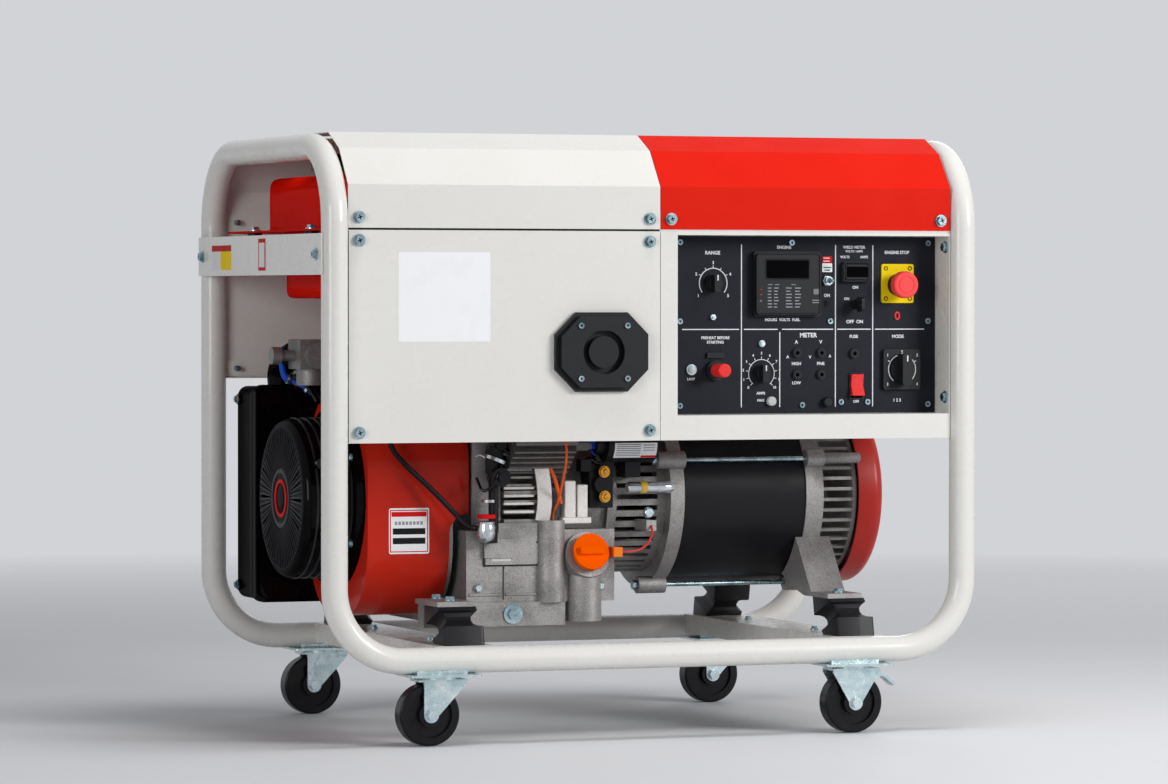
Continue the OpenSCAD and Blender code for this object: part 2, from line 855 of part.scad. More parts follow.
module tank_bars() color(cream) difference() {
  union() {
    translate([bar_outer_x, 0, 0]) tank_bar(leg_y + 6, leg_y - tube_r - 2);
    translate([right_bar_x, 0, 0]) mirror([1, 0, 0])
      tank_bar(rail_y - plate_t, rail_y - plate_t);
  }
  for (p = tank_bolts)
    translate([p[0], p[1], bar_top - plate_t - 1]) cyl(bolt_hole, plate_t + 2);
  for (y = [-bar_bolt_y, bar_bolt_y]) translate([0, y, bar_bolt_z])
    rod_x(bolt_hole, bar_outer_x - 1, bar_outer_x + plate_t + 1);
}

// ---- Covers ----

canopy_half = [
  [-face_y, skirt_z], [-face_y, eave_z], [low_slope_run - face_y, shoulder_z],
  [low_slope_run + top_slope_run - face_y, canopy_top]
];
canopy_line = both_ways(canopy_half);

module canopy(x0, x1, bolts) difference() {
  along_x(x0, x1) polygon(folded(canopy_line, -sheet_t));
  both_sides() bolt_holes_y(bolts, [hood_bolt_z]);
}

module white_canopy() color(cream) difference() {
  canopy(-cover_x, white_end, white_xs);
  translate([filler_x, 0, shoulder_z]) cyl(filler_hole_d, 2 * top_slope_rise);
}

module red_canopy() color(bright_red) canopy(red_start, cover_x, red_xs);

// A flat panel at +Y with a fold along its lower edge
module cover_panel(x0, x1, bottom, xs, zs) difference() {
  union() {
    block([x0, x1], [rail_y, face_y], [bottom, panel_top]);
    block([x0, x1], [face_y - fold_d, face_y], [bottom, bottom + sheet_t]);
  }
  bolt_holes_y(xs, zs);
}

module front_panel() color(cream) difference() {
  mirror([0, 1, 0]) cover_panel(-cover_x, white_end, front_z0, white_xs, front_zs);
  to_front(socket_at[0], socket_at[1]) {
    up(-2 * sheet_t) cyl(socket_body_d + hole_play, 3 * sheet_t);
    four(socket_screw[0], socket_screw[1]) up(-2 * sheet_t) cyl(screw_hole, 3 * sheet_t);
  }
}

module rear_panel() color(cream) difference() {
  cover_panel(-cover_x, cover_x, rear_bottom, rear_xs, rear_zs);
  for (i = [0:vent_count - 1])
    translate([muffler_x + muffler_l / 2, 0, muffler_z + vent_pitch * (i + 1)])
      along_y(rail_y - 1, face_y + 1) rrect(vent_l, vent_h, vent_h / 2 - eps);
}

// ---- Control box ----

module box_shell() {
  difference() {
    block([win_x0 - sheet_t, win_x1 + sheet_t], [-face_y, -box_back_y],
      [win_z0 - sheet_t, win_z1 + sheet_t]);
    block([win_x0, win_x1], [-face_y - 1, -box_back_y - sheet_t], [win_z0, win_z1]);
  }
}

module box_lip() difference() {
  block([win_x0, win_x1], [-plate_back_y, sheet_t - plate_back_y], [win_z0, win_z1]);
  block([win_x0 + lip_w, win_x1 - lip_w], [-plate_back_y - 1, sheet_t - plate_back_y + 1],
    [win_z0 + lip_w, win_z1 - lip_w]);
  translate([rocker_at[0], -plate_back_y, rocker_at[1]])
    cube([rocker_w + 6, 4 * sheet_t, rocker_l + 6], center = true);
}

module front_frame() difference() {
  block([red_start, cover_x], [-face_y, -rail_y], [front_z0, panel_top]);
  block([win_x0, win_x1], [-face_y - 1, 1 - rail_y], [win_z0, win_z1]);
}

module control_box() color(cream) difference() {
  union() {
    front_frame();
    block([red_start, cover_x], [-face_y, fold_d - face_y], [front_z0, front_z0 + sheet_t]);
    box_shell();
    box_lip();
  }
  for (z = box_zs) translate([0, box_bolt_y, z]) rod_x(bolt_hole, win_x1 - 1, cover_x + 1);
  for (p = plate_screws) to_front(p[0], p[1], -plate_back_y)
    up(-2 * sheet_t) cyl(screw_hole, 3 * sheet_t);
}

module plate_hole(at, d) translate(at) circle(d = d);

module control_plate() color(black) translate([0, -plate_back_y, 0]) rotate([90, 0, 0])
  linear_extrude(control_plate_t) difference() {
    translate([px0, pz0]) square([px1 - px0, pz1 - pz0]);
    for (p = plate_screws) plate_hole(p, screw_hole);
    for (p = [range_knob_at, amp_knob_at, switch_at]) plate_hole(p, stem_hole);
    plate_hole(estop_at, stop_stem_d + hole_play);
    plate_hole(start_at, start_d + hole_play);
    plate_hole(key_at, key_plug_d + hole_play);
    plate_hole(toggle_at, bushing_d);
    translate(rocker_at) square([rocker_w + 2 * cheek_t, rocker_l + 4], center = true);
  }

// On the control plate's face, out of the front
module on_plate(at) to_front(at[0], at[1], -control_y) children();

module bolt_row(y_side, xs, z) for (x = xs)
  if (y_side < 0) to_front(x, z) hexbolt(bolt_l);
  else to_rear(x, z) hexbolt(bolt_l);

module cover_bolts() color(zinc) {
  for (side = [-1, 1]) {
    bolt_row(side, white_xs, hood_bolt_z);
    bolt_row(side, red_xs, hood_bolt_z);
  }
  for (z = front_zs) bolt_row(-1, white_xs, z);
  for (z = rear_zs) bolt_row(1, rear_xs, z);
  for (z = box_zs) to_left(box_bolt_y, z, win_x1) hexbolt(box_bolt_l);
  for (y = [-bar_bolt_y, bar_bolt_y]) to_left(y, bar_bolt_z, bar_outer_x)
    hexbolt(plate_t + bar_reach);
  for (p = tank_bolts) translate([p[0], p[1], body_z])
    hexbolt(flange_t + pad_h + plate_t);
}

module panel_screws() color(zinc) {
  for (p = plate_screws) on_plate(p) panel_screw();
  to_front(socket_at[0], socket_at[1], -face_y - socket_t)
    four(socket_screw[0], socket_screw[1]) panel_screw(socket_t + sheet_t + 4);
}

// A flat case with a raised face and a sunk window
module display_case(w, h, t, window_w, window_h, window_rise) difference() {
  union() {
    linear_extrude(t - 4) rrect(w, h, 5);
    linear_extrude(t) rrect(w - 8, h - 10, 4);
  }
  translate([0, window_rise, t - 1.5]) linear_extrude(2) square([window_w, window_h], center = true);
}

module panel_displays() color(black) {
  on_plate(module_at) display_case(module_w, module_h, module_t, module_w * 0.6, module_h * 0.27,
    module_h * 0.22);
  on_plate(meter_at) display_case(meter_w, meter_h, meter_t, meter_w * 0.72, meter_h * 0.5, 0);
  on_plate(switch_at) difference() {
    linear_extrude(switch_t) rrect(switch_w, switch_w, 4);
    up(-1) cyl(stem_hole, switch_t + 2);
  }
  on_plate(rocker_at) {
    difference() {
      linear_extrude(bezel_t) rrect(rocker_w + 5, rocker_l + 6, 2);
      up(-1) linear_extrude(bezel_t + 2)
        square([rocker_w + 2 * fit_gap, rocker_l + 2], center = true);
    }
    for (i = [-1, 1]) translate([i * (rocker_w + cheek_t + fit_gap) / 2, 0, (eps - rocker_depth) / 2])
      cube([cheek_t - fit_gap, rocker_l * 0.6, rocker_depth + eps], center = true);
  }
  on_plate([start_at[0], start_at[1] + start_ring_d / 2 + 7]) linear_extrude(label_block_t)
    square([label_block_w, 8], center = true);
}

// A ring that stands on the plate, with its bore
module collar(at, d, bore, h) on_plate(at) difference() {
  union() {
    cyl(d, h - 1);
    cyl(d - 3, h);
  }
  up(-1) cyl(bore, h + 2);
}

module panel_collars() color(black) {
  collar(start_at, start_ring_d, start_d + 2 * fit_gap, collar_h);
  collar(estop_at, stop_stem_d + 10, stop_stem_d + 2 * fit_gap, stop_collar_h);
  collar(key_at, key_barrel_d, key_plug_d + 2 * fit_gap, key_barrel_h);
  for (p = jacks_at) collar(p, jack_d, jack_hole_d, jack_h);
  collar(round_socket_at, jack_d + 1, jack_hole_d, jack_h);
}

module panel_metal_fittings() color(zinc) {
  for (p = [[lamp_at, 16], [small_lamp_at, 10], [pilot_at, 13]]) on_plate(p[0]) {
    cyl(p[1], 3);
    cyl(p[1] * 0.7, 6);
  }
  on_plate(range_nut_at) {
    cylinder(d = 8 / cos(30), h = 4, $fn = 6);
    cyl(4, 7);
  }
  on_plate(trim_knob_at) cyl(12, 8);
  on_plate(toggle_at) difference() {
    union() {
      up(-control_plate_t) cyl(bushing_d, bushing_h + control_plate_t);
      cylinder(d = bushing_d / cos(30) + 2, h = 2, $fn = 6);
    }
    up(-control_plate_t - 1)
      cyl(ball_d + 2 * fit_gap, bushing_h + control_plate_t + 2);
  }
}

// A skirted knob with a thumb bar on a stem that runs through the plate
module pointer_knob(at) on_plate(at) {
  difference() {
    union() {
      up(stem_gap) cyl(knob_d, 4);
      up(stem_gap) cyl(knob_d * 0.82, 9);
      up(knob_h / 2) intersection() {
        cube([knob_d * 0.36, knob_d, knob_h], center = true);
        cylinder(d = knob_d - 1, h = knob_h, center = true);
      }
    }
    up(-knob_h) cube([knob_d, knob_d, 2 * (knob_h + stem_gap)], center = true);
  }
  up(-stem_l) cyl(stem_d, stem_l + 5);
}

module range_knob() color(black) pointer_knob(range_knob_at);
module current_knob() color(black) pointer_knob(amp_knob_at);

module changeover_handle() color(black) on_plate(switch_at)
  up(switch_t + stem_gap) {
    cyl(handle_l - 8, 4);
    linear_extrude(handle_h) rrect(15, handle_l, 3);
    up(-switch_t - stem_l) cyl(stem_d, switch_t + stem_l + 1);
  }

module estop_plate() color([0.95, 0.84, 0.05]) on_plate(estop_at) linear_extrude(estop_plate_t)
  difference() {
    translate([0, 2]) rrect(stop_plate_w, stop_plate_w + 6, 3);
    circle(d = stop_stem_d + 11);
  }

module estop_button() color([0.92, 0.22, 0.22]) on_plate(estop_at) rotate_extrude() difference() {
  union() {
    translate([0, -stem_l]) square([stop_stem_d / 2, mushroom_h + stem_l - 4]);
    translate([0, mushroom_h - cap_head_h]) square([mushroom_d / 2, cap_head_h - 3]);
    translate([0, mushroom_h - 4]) square([mushroom_d / 2 - 3, 4]);
    translate([mushroom_d / 2 - 3, mushroom_h - 3]) circle(3);
  }
  translate([mushroom_d * 0.3, mushroom_h]) circle(0.8);
}

module start_button() color(bright_red) on_plate(start_at) rotate_extrude() {
  translate([0, -stem_l]) square([start_d / 2, start_h + stem_l - 2]);
  square([start_d / 2 - 2, start_h]);
  translate([start_d / 2 - 2, start_h - 2]) circle(2);
}

// A rocker: its pin runs along X in the bezel's cheeks
module rocker_switch() color(bright_red) translate([rocker_at[0], -control_y, rocker_at[1]]) {
  rotate([rocker_rest, 0, 0]) along_x(-rocker_w / 2, rocker_w / 2) polygon([
    [3, -rocker_l / 2 + 2], [-rocker_proud, -rocker_l / 2 + 1], [-4, 0],
    [-rocker_proud, rocker_l / 2 - 1], [3, rocker_l / 2 - 2], [8, 0]
  ]);
}

module toggle_lever() color(zinc) on_plate(toggle_at) up(bushing_h - 5) {
  sphere(d = ball_d);
  cylinder(d1 = 3, d2 = 5, h = toggle_l);
  up(toggle_l) sphere(d = 5);
}

module ignition_key() color(black) on_plate(key_at) {
  up(-stem_l) cyl(key_plug_d, stem_l + key_barrel_h - 1);
  translate([0, key_w / 2, key_barrel_h - 2]) rotate([90, 0, 0]) linear_extrude(key_w)
    square([key_t, 10], center = true);
  translate([key_t, 0, key_barrel_h + key_bow_w / 2 + 2]) rotate([0, 90, 0]) up(-2 * key_t)
    linear_extrude(2 * key_t) difference() {
      rrect(key_bow_w, key_bow_w + 2, 5);
      translate([-key_bow_w / 4, 0]) circle(2.5);
    }
}

module receptacle() color(black) to_front(socket_at[0], socket_at[1]) difference() {
  union() {
    linear_extrude(socket_t / 2) cut_rect(socket_w, socket_h, socket_cut);
    linear_extrude(socket_t)
      cut_rect(socket_w - 2 * socket_step, socket_h - 2 * socket_step,
        socket_cut - socket_step / 2);
    up(-socket_body_l) cyl(socket_body_d, socket_body_l);
  }
  up(socket_t - socket_depth) difference() {
    cyl(socket_d, socket_t);
    up(-1) cyl(socket_d * 0.72, socket_depth);
    translate([0, socket_d / 2, 0]) cube([socket_d * 0.3, 3, 2 * socket_depth - 2], center = true);
  }
  four(socket_screw[0], socket_screw[1]) up(-1) cyl(screw_hole, socket_t + 2);
}

// ---- Fuel tank ----

// A box with soft edges all round, from one plan and two side outlines
module soft_box(x, w, z, r) {
  l = x[1] - x[0];
  h = z[1] - z[0];
  intersection() {
    translate([(x[0] + x[1]) / 2, 0, z[0]]) linear_extrude(h) rrect(l, w, 2 * r);
    along_x(x[0], x[1]) translate([0, (z[0] + z[1]) / 2]) rrect(w, h, r);
    along_y(-w / 2, w / 2) translate([(x[0] + x[1]) / 2, (z[0] + z[1]) / 2]) rrect(l, h, r);
  }
}

module tank_upper(wall) soft_box([tank_left + tank_rim + wall, tank_right - tank_rim - wall],
  tank_w - 2 * wall, [body_z - 2 * tank_corner, tank_top_z - wall], tank_corner - wall);
module tank_lower(wall) soft_box([tank_left + pan_rim + wall, tank_right - pan_rim - wall],
  tank_pan_w - 2 * wall, [tank_pan_z + wall, flange_z + 2 * pan_corner], pan_corner - wall);

module over(z) intersection() {
  children();
  block([-leg_x, leg_x], [-leg_y, leg_y], [z, frame_height + 99]);
}
module under(z) intersection() {
  children();
  block([-leg_x, leg_x], [-leg_y, leg_y], [0, z]);
}

module fuel_tank() color(bright_red) difference() {
  union() {
    translate([(tank_left + tank_right) / 2, 0, flange_z]) linear_extrude(flange_t)
      rrect(tank_flange_l, tank_flange_w, 24);
    over(flange_z + 1) tank_upper(0);
    under(flange_z + 1) tank_lower(0);
    translate([filler_x, 0, tank_top_z - tank_wall]) cyl(neck_d, neck_h + tank_wall);
    translate([outlet_at[0], outlet_at[1], tank_pan_z - outlet_l]) cyl(hose_d + 2, outlet_l + 1);
  }
  over(body_z) tank_upper(tank_wall);
  under(body_z + eps) tank_lower(tank_wall);
  translate([filler_x, 0, tank_top_z - 2 * tank_wall]) cyl(neck_d - 6, 2 * neck_h);
  for (p = tank_bolts) translate([p[0], p[1], flange_z - 1]) cyl(bolt_hole, flange_t + 2);
}

module fuel_cap() color(black) translate([filler_x, 0, tank_top_z + cap_lift]) difference() {
  union() {
    cyl(fuel_cap_d, fuel_cap_h - 4);
    cyl(fuel_cap_d - 8, fuel_cap_h);
  }
  up(-1) cyl(neck_d + 2 * fit_gap, neck_h - cap_lift + 1.5);
  for (k = [0:11]) rotate(30 * k) translate([fuel_cap_d / 2 + 1, 0, -1]) cyl(8, fuel_cap_h + 2);
}

// ---- Engine ----

// A turned piece on the shaft line: the outline is (radius, distance from x)
module turned(x) translate([x, 0, shaft_z]) rotate([0, 90, 0]) rotate_extrude() children();

// Copies around the shaft line; an angle of 0 points to -Y, 90 up
module around(angles, r) on_shaft() for (a = angles)
  translate([0, -r * cos(a), r * sin(a)]) children();

module recoil_cover() color(black) difference() {
  union() {
    to_left(0, shaft_z, ring_x) difference() {
      rotate_extrude() {
        square([recoil_d / 2, recoil_l - recoil_round]);
        square([recoil_d / 2 - recoil_round, recoil_l]);
        translate([recoil_d / 2 - recoil_round, recoil_l - recoil_round]) circle(recoil_round);
      }
      up(-1) cyl(recoil_d - 2 * recoil_wall, recoil_l - recoil_wall - recoil_round + 1);
      up(-1) cyl(recoil_d - 2 * recoil_round, recoil_l - recoil_wall + 1);
      up(recoil_l - 2 * recoil_wall) linear_extrude(3 * recoil_wall)
        for (k = [0:slot_count - 1]) rotate(360 * k / slot_count)
          translate([recoil_hub_d / 2 + 6, -slot_w / 2])
            square([(recoil_d - recoil_hub_d) / 2 - recoil_round - 14, slot_w]);
    }
    to_left(0, shaft_z, ring_x) up(recoil_l - 2 * recoil_wall)
      cyl(recoil_hub_d, 2 * recoil_wall);
    turned(ring_x) difference() {
      square([ring_d / 2, ring_t]);
      translate([-1, -1]) square([recoil_d / 2 - recoil_wall + 1, ring_t + 2]);
    }
    translate([rope_x, -rope_boss_y, rope_z]) rotate([-90, 0, 0])
      cyl(rope_d + 12, rope_boss_y - rope_wall_y);
  }
  translate([rope_x, 0, rope_z]) rod_y(rope_d + 2 * fit_gap, -recoil_d, -rope_wall_y + 20);
  around(ring_angles, ring_bolt_r) rod_x(ring_bolt_hole_d, ring_x - 1, blower_x + 1);
}

module recoil_handle() color(black) translate([rope_x, 0, rope_z]) {
  rod_y(rope_d, -rope_boss_y - 4, rope_tail_y);
  translate([0, -rope_boss_y - fit_gap, 0]) difference() {
    along_y(-grip_w, 0) rrect(grip_l, grip_h, grip_h / 2 - 0.5);
    translate([0, -grip_w / 2, grip_h]) rod_x(grip_w, -grip_l / 4, grip_l / 4);
  }
}

// The (y, z) outline of the blower housing, made smaller by `wall`
module blower_2d(wall) translate([0, shaft_z - blower_drop])
  rrect(blower_w - 2 * wall, blower_h - 2 * wall, blower_round - wall);

// The (x, z) outline that the housing is trimmed to
module blower_trim() difference() {
  union() {
    translate([blower_x - 1, 0]) square([blower_low + 1, frame_height]);
    translate([blower_x - 1, shaft_z - 50]) square([blower_l + blower_step + 1, frame_height]);
  }
  translate([blower_x + blower_low + blower_fillet, shaft_z - 50]) circle(blower_fillet);
}

module blower_housing() color(deep_red) intersection() {
  difference() {
    along_x(blower_x, blower_x + blower_l + blower_step) blower_2d(0);
    along_x(blower_x + blower_wall, blower_x + 2 * blower_l) blower_2d(blower_wall);
    turned(blower_x - 1) square([recoil_d / 2 - recoil_wall, 3 * blower_wall]);
    around(ring_angles, ring_bolt_r) rod_x(ring_bolt_hole_d, blower_x - 1, blower_x + 9);
  }
  along_y(-blower_w, blower_w) blower_trim();
}

module flywheel() color(casting) difference() {
  union() {
    turned(wheel_x) {
      square([flywheel_d / 2, 12]);
      square([flywheel_d / 4, flywheel_l]);
    }
    turned(wheel_x + 10) difference() {
      square([flywheel_d / 2 - 12, flywheel_l - 10]);
      square([flywheel_d / 2 - 24, flywheel_l - 9]);
    }
    on_shaft() for (k = [0:blade_count - 1]) rotate([360 * k / blade_count, 0, 0])
      block([wheel_x - blade_l, wheel_x + 1], [flywheel_d / 4 - 2, flywheel_d / 2 - 4], [-1.5, 1.5]);
    turned(wheel_x - blade_l) difference() {
      square([flywheel_d / 4, blade_l + 1]);
      translate([-1, -1]) square([flywheel_d / 4 - 3, blade_l]);
    }
  }
  on_shaft() rod_x(crankshaft_d, wheel_x - 1, wheel_x + flywheel_l + 1);
}

module crankshaft() color(zinc) difference() {
  union() {
    on_shaft() {
      rod_x(crankshaft_d, crank_x0, cyl_x - web_gap);
      rod_x(crankshaft_d, cyl_x + web_gap, crank_x1);
    }
    for (side = [-1, 1]) turned(cyl_x + side * web_gap - web_t / 2) square([web_r, web_t]);
    up(shaft_z + throw_r) rod_x(crankshaft_d * 0.9, cyl_x - web_gap, cyl_x + web_gap);
  }
  // The webs are cut away beside the crank pin
  for (side = [-1, 1])
    translate([0, side * web_r, shaft_z + web_r])
      rod_x(1.2 * web_r, cyl_x - 2 * web_gap, cyl_x + 2 * web_gap);
}

module crankcase_body() {
  up(shaft_z) rod_x(case_d, case_x, case_end);
  block([case_x + 6, case_end - 8], [-sump_w / 2, sump_w / 2], [seat_z - 1, sump_top]);
  block([base_x0, base_x1], [-base_half_w, base_half_w], [base_z, seat_z]);
  both_sides() {
    block([base_x0 - 50, base_x0 + 1], [-base_half_w, ear_w - base_half_w], [base_z, seat_z]);
    // Raised plates on the sump's face
    block([case_x + 35, case_x + 113], [-sump_w / 2 - 4, 0], [sump_top - 50, sump_top]);
    block([case_x + 32, case_x + 78], [-sump_w / 2 - 7, 0], [sump_top - 40, sump_top - 12]);
    // Cast column and ribs beside the cylinder
    translate([column_x, -sump_w / 2 + 4, seat_z - 1]) cyl(44, column_top - seat_z + 1);
    for (k = [0:3]) up(sump_top + side_fin_pitch * (k + 0.7))
      block([case_x + 66, case_x + 132], [-side_fin_y, 0], [0, 6]);
    block([case_x + 120, case_x + 132], [-side_fin_y, 0], [sump_top - 1, sump_top + 4 * side_fin_pitch]);
    // Baffle between the blower housing and the cylinder
    block([case_x + 20, case_x + 64], [-baffle_y, 6 - baffle_y], [sump_top - 10, front_z0]);
    // Cylinder seats
    on_shaft() rotate([lean, 0, 0])
      block([cyl_x - fin_l / 2, cyl_x + fin_l / 2], [-barrel_d / 2, barrel_d / 2],
        [0, first_fin]);
  }
  // Flange that carries the blower housing
  intersection() {
    along_x(base_x0 - 3, base_x0 + 6) blower_2d(blower_wall);
    block([base_x0 - 3, base_x0 + 6], [-blower_w, blower_w], [0, shaft_z + 60]);
  }
  // Oil filler neck
  translate([cap_neck_x, -cap_neck_y, cap_neck_z]) rotate([90 - cap_tilt, 0, 0]) {
    up(-70) cyl(oil_cap_d + 14, 60);
    up(-70) cyl(oil_neck_d, 70);
  }
  translate([cap_neck_x, 6 - sump_w / 2, seat_z - 30]) cyl(54, cap_neck_z - seat_z + 30);
}

module crankcase() color(casting) difference() {
  crankcase_body();
  on_shaft() {
    rod_x(case_d - 4 * case_wall, case_x + case_wall, case_end - case_wall);
    rod_x(shaft_bore_d, case_x - 20, case_end + 1);
  }
  both_sides() translate([-engine_x, -ear_bolt_y, base_z - 1]) cyl(bolt_hole, base_bar_h + 2);
  translate([base_bolt_x, 0, base_z + base_bar_h / 2])
    rod_y(bolt_d + hole_play, -base_half_w - 1, 20 - base_half_w);
}

// The front cylinder leans to -Y; the rear one mirrors it
module leaning() both_sides() on_shaft() rotate([lean, 0, 0]) translate([cyl_x, 0, 0]) children();

module cylinders() color(casting) leaning() {
  up(first_fin) cyl(barrel_d, head_s - first_fin);
  for (k = [0:fin_count - 1]) up(first_fin + fin_pitch * k + fin_t / 2)
    cube([fin_l, fin_w, fin_t], center = true);
  up(head_s + head_l / 2) cube([fin_l, fin_w - 10, head_l], center = true);
}

module rocker_covers() color(zinc) leaning() up(head_s + head_l)
  difference() {
    union() {
      linear_extrude(8) rrect(fin_l - 4, fin_w - 24, 12);
      linear_extrude(rocker_l_s) rrect(fin_l - 20, fin_w - 40, 12);
    }
    up(-1) linear_extrude(rocker_l_s - 2) rrect(fin_l - 26, fin_w - 46, 9);
  }

module oil_filler_cap() color([1.0, 0.47, 0.0]) translate([cap_neck_x, -cap_neck_y, cap_neck_z])
  rotate([90 - cap_tilt, 0, 0]) difference() {
    union() {
      up(-cap_skirt) cyl(oil_cap_d - 6, cap_skirt + 4);
      cyl(oil_cap_d, 6);
      linear_extrude(13) rrect(oil_cap_d * 0.7, 12, 4);
    }
    up(-cap_skirt - 1) cyl(oil_neck_d + 2 * fit_gap, cap_skirt + 1);
  }

module hoses_and_leads() {
  color([1.0, 0.47, 0.0]) up(cap_neck_z)
    block([plug_x, plug_x + plug_l], [-cap_neck_y - 6, -sump_w / 2], [-7, 7]);
  color(rubber) swept(smooth_route(hose_path, 3), hose_d, [0.2, 1, 0.4]);
  color([0.9, 0.2, 0.12]) swept(smooth_route(red_path, 3), lead_d, [0, 1, -0.6], 8);
  color([0.95, 0.35, 0.1]) swept(smooth_route(orange_path, 3), lead_d, [1, 0.3, 0.2], 8);
}

// Fuel bowl and tap, starter motor, filter and nozzles at the engine's front
module engine_fittings() color(black) {
  front = -sump_w / 2;
  translate(bowl_at - [0, 0, 14]) {
    cyl(bowl_d, 20);
    up(20) cylinder(d1 = bowl_d, d2 = 14, h = 8);
  }
  translate([0, hose_end[1], hose_end[2]]) rod_x(hose_d, hose_end[0], bowl_at[0]);
  translate([tap_x, front - 12, bowl_at[2]]) cyl(15, tap_z - bowl_at[2]);
  to_front(tap_x + 8, tap_z, front) cyl(28, 26);
  to_front(tap_x + 8, tap_z, front - 26) cyl(12, 4);
  block([tap_x - 4, tap_x + 8], [front - 16, front], [tap_z, tap_z + 44]);
  to_front(tap_x + 10, tap_z + 46, front) cyl(14, 20);
  block([tap_x - 4, tap_x + 17], [front - 4, -baffle_y], [tap_z + 4, tap_z + 40]);
  // Starter motor on a saddle
  translate([0, -starter_y, starter_z]) {
    rod_x(starter_d, starter_x0, starter_x1);
    rod_x(starter_d * 0.6, starter_x0 - 14, starter_x0 + 1);
  }
  difference() {
    block([case_end + 16, case_end + 40], [-starter_y, -adapter_d / 4], [shaft_z + 30, starter_z]);
    on_shaft() rod_x(adapter_d, starter_x0, starter_x1);
  }
}

module carburettor() color(casting) {
  translate([carb_x, carb_y, carb_z]) {
    block([-26, 26], [-30, 30], [-20, 24]);
    up(-44) cyl(44, 26);
    rod_y(40, -46, 46);
    rod_x(16, -50, 30);
    rod_x(26, -62, -48);
  }
  for (side = [-1, 1]) swept(smooth_route([
    [carb_x + 20, carb_y, carb_z], [carb_x + 60, carb_y, carb_z],
    [cyl_x - fin_l, side * manifold_y * 0.8, manifold_z + 16],
    [cyl_x - fin_l / 2 - 20, side * manifold_y, manifold_z],
    [cyl_x - fin_l / 2 - 10, side * manifold_y, manifold_z],
    [cyl_x - fin_l / 2, side * manifold_y, manifold_z]
  ], 4), manifold_d, [0, 0.3, 1], 12);
}

module filter_2d(inset) translate([filter_x0 + filter_l / 2, filter_z0 + filter_h / 2])
  rrect(filter_l - 2 * inset, filter_h - 2 * inset, filter_corner - inset / 2);

module air_filter_box() color(black) {
  difference() {
    union() {
      along_y(filter_y - filter_w, filter_y) filter_2d(0);
      along_y(filter_y - filter_w, filter_y - filter_w + 8) filter_2d(-3);
      for (z = filter_bolts_z) translate([0, filter_y - 10, z]) rod_x(16, filter_x0 - 3, filter_x0 + 4);
    }
    along_y(filter_y - filter_w - 1, filter_y - filter_wall) filter_2d(filter_wall);
  }
  swept(smooth_route([
    [carb_x, filter_y - filter_w / 2, filter_z0 + filter_h - filter_wall],
    [carb_x, filter_y - filter_w / 2, filter_z0 + filter_h + 26],
    [carb_x, carb_y + 90, carb_z], [carb_x, carb_y + 66, carb_z], [carb_x, carb_y + 46, carb_z]
  ], 4), manifold_d + 10, [1, 0.3, 0.2], 12);
}

module air_filter_lid() color(black) difference() {
  union() {
    along_y(filter_y - filter_w - filter_lid_w, filter_y - filter_w) filter_2d(4);
    along_y(filter_y - filter_w - 7, filter_y - filter_w) filter_2d(-3);
  }
  along_y(filter_y - filter_w - filter_lid_w + filter_wall, filter_y - filter_w + 1)
    filter_2d(4 + filter_wall);
}

module muffler() color(zinc) {
  translate([muffler_x, head_y, muffler_z]) rotate([0, 90, 0]) rotate_extrude() difference() {
    union() {
      square([muffler_d / 2 - 8, muffler_l]);
      translate([0, 8]) square([muffler_d / 2, muffler_l - 16]);
      for (h = [8, muffler_l - 8]) translate([muffler_d / 2 - 8, h]) circle(8);
    }
    translate([-1, sheet_t]) square([muffler_d / 2 - 8, muffler_l - 2 * sheet_t]);
  }
  translate([0, head_y, head_z]) rod_x(exhaust_d, cyl_x + fin_l / 2, muffler_x + sheet_t);
  translate([0, head_y, muffler_z]) pipe_x(tail_d, tail_d - 6, muffler_x + muffler_l - sheet_t,
    muffler_x + muffler_l + tail_l);
}

// ---- Alternator ----

// A ring cut through by straight slots; `share` is the open part of its outline
module slot_ring(d, wall, count, share) {
  slot = share * d * PI / count;
  difference() {
    circle(d = d);
    circle(d = d - 2 * wall);
    for (k = [0:count - 1]) rotate(360 * k / count)
      translate([d / 2 - 2 * wall, -slot / 2]) square([4 * wall, slot]);
  }
}

module plain_ring(d, bore) difference() {
  circle(d = d);
  circle(d = bore);
}

module rod_lugs(x0, x1, d) around(rod_angles, rod_r) rod_x(d, x0, x1);

module alternator_adapter() color(casting) difference() {
  bore = adapter_d - 2 * adapter_wall;
  flange_z = adapter_l - adapter_rim;
  union() {
    translate([case_end, 0, shaft_z]) rotate([90, 0, 90]) {
      linear_extrude(14) circle(d = adapter_d);
      up(13) linear_extrude(flange_z - 24)
        slot_ring(adapter_d, adapter_wall, adapter_slots, 0.45);
      up(flange_z - 12) linear_extrude(12) plain_ring(adapter_d, bore);
      up(flange_z) linear_extrude(adapter_rim) plain_ring(stator_d + 4, bore);
    }
    rod_lugs(stator_x - lug_l, stator_x, lug_d);
    // Terminal block of the red lead
    block([terminal_x - 8, terminal_x + 8], [-terminal_y, 10 - bore / 2], [terminal_z - 8, terminal_z + 8]);
  }
  on_shaft() rod_x(shaft_bore_d, case_end - 1, case_end + 15);
  rod_lugs(stator_x - lug_l - 1, stator_x + 1, rod_d + hole_play);
}

module stator() color(black) {
  turned(stator_x) translate([stator_d / 2 - shroud_t, 0]) square([shroud_t, stator_l]);
  turned(stator_x + core_inset) translate([rotor_d / 2 + air_gap, 0])
    square([(stator_d - rotor_d) / 2 - shroud_t - air_gap + eps, core_l]);
}

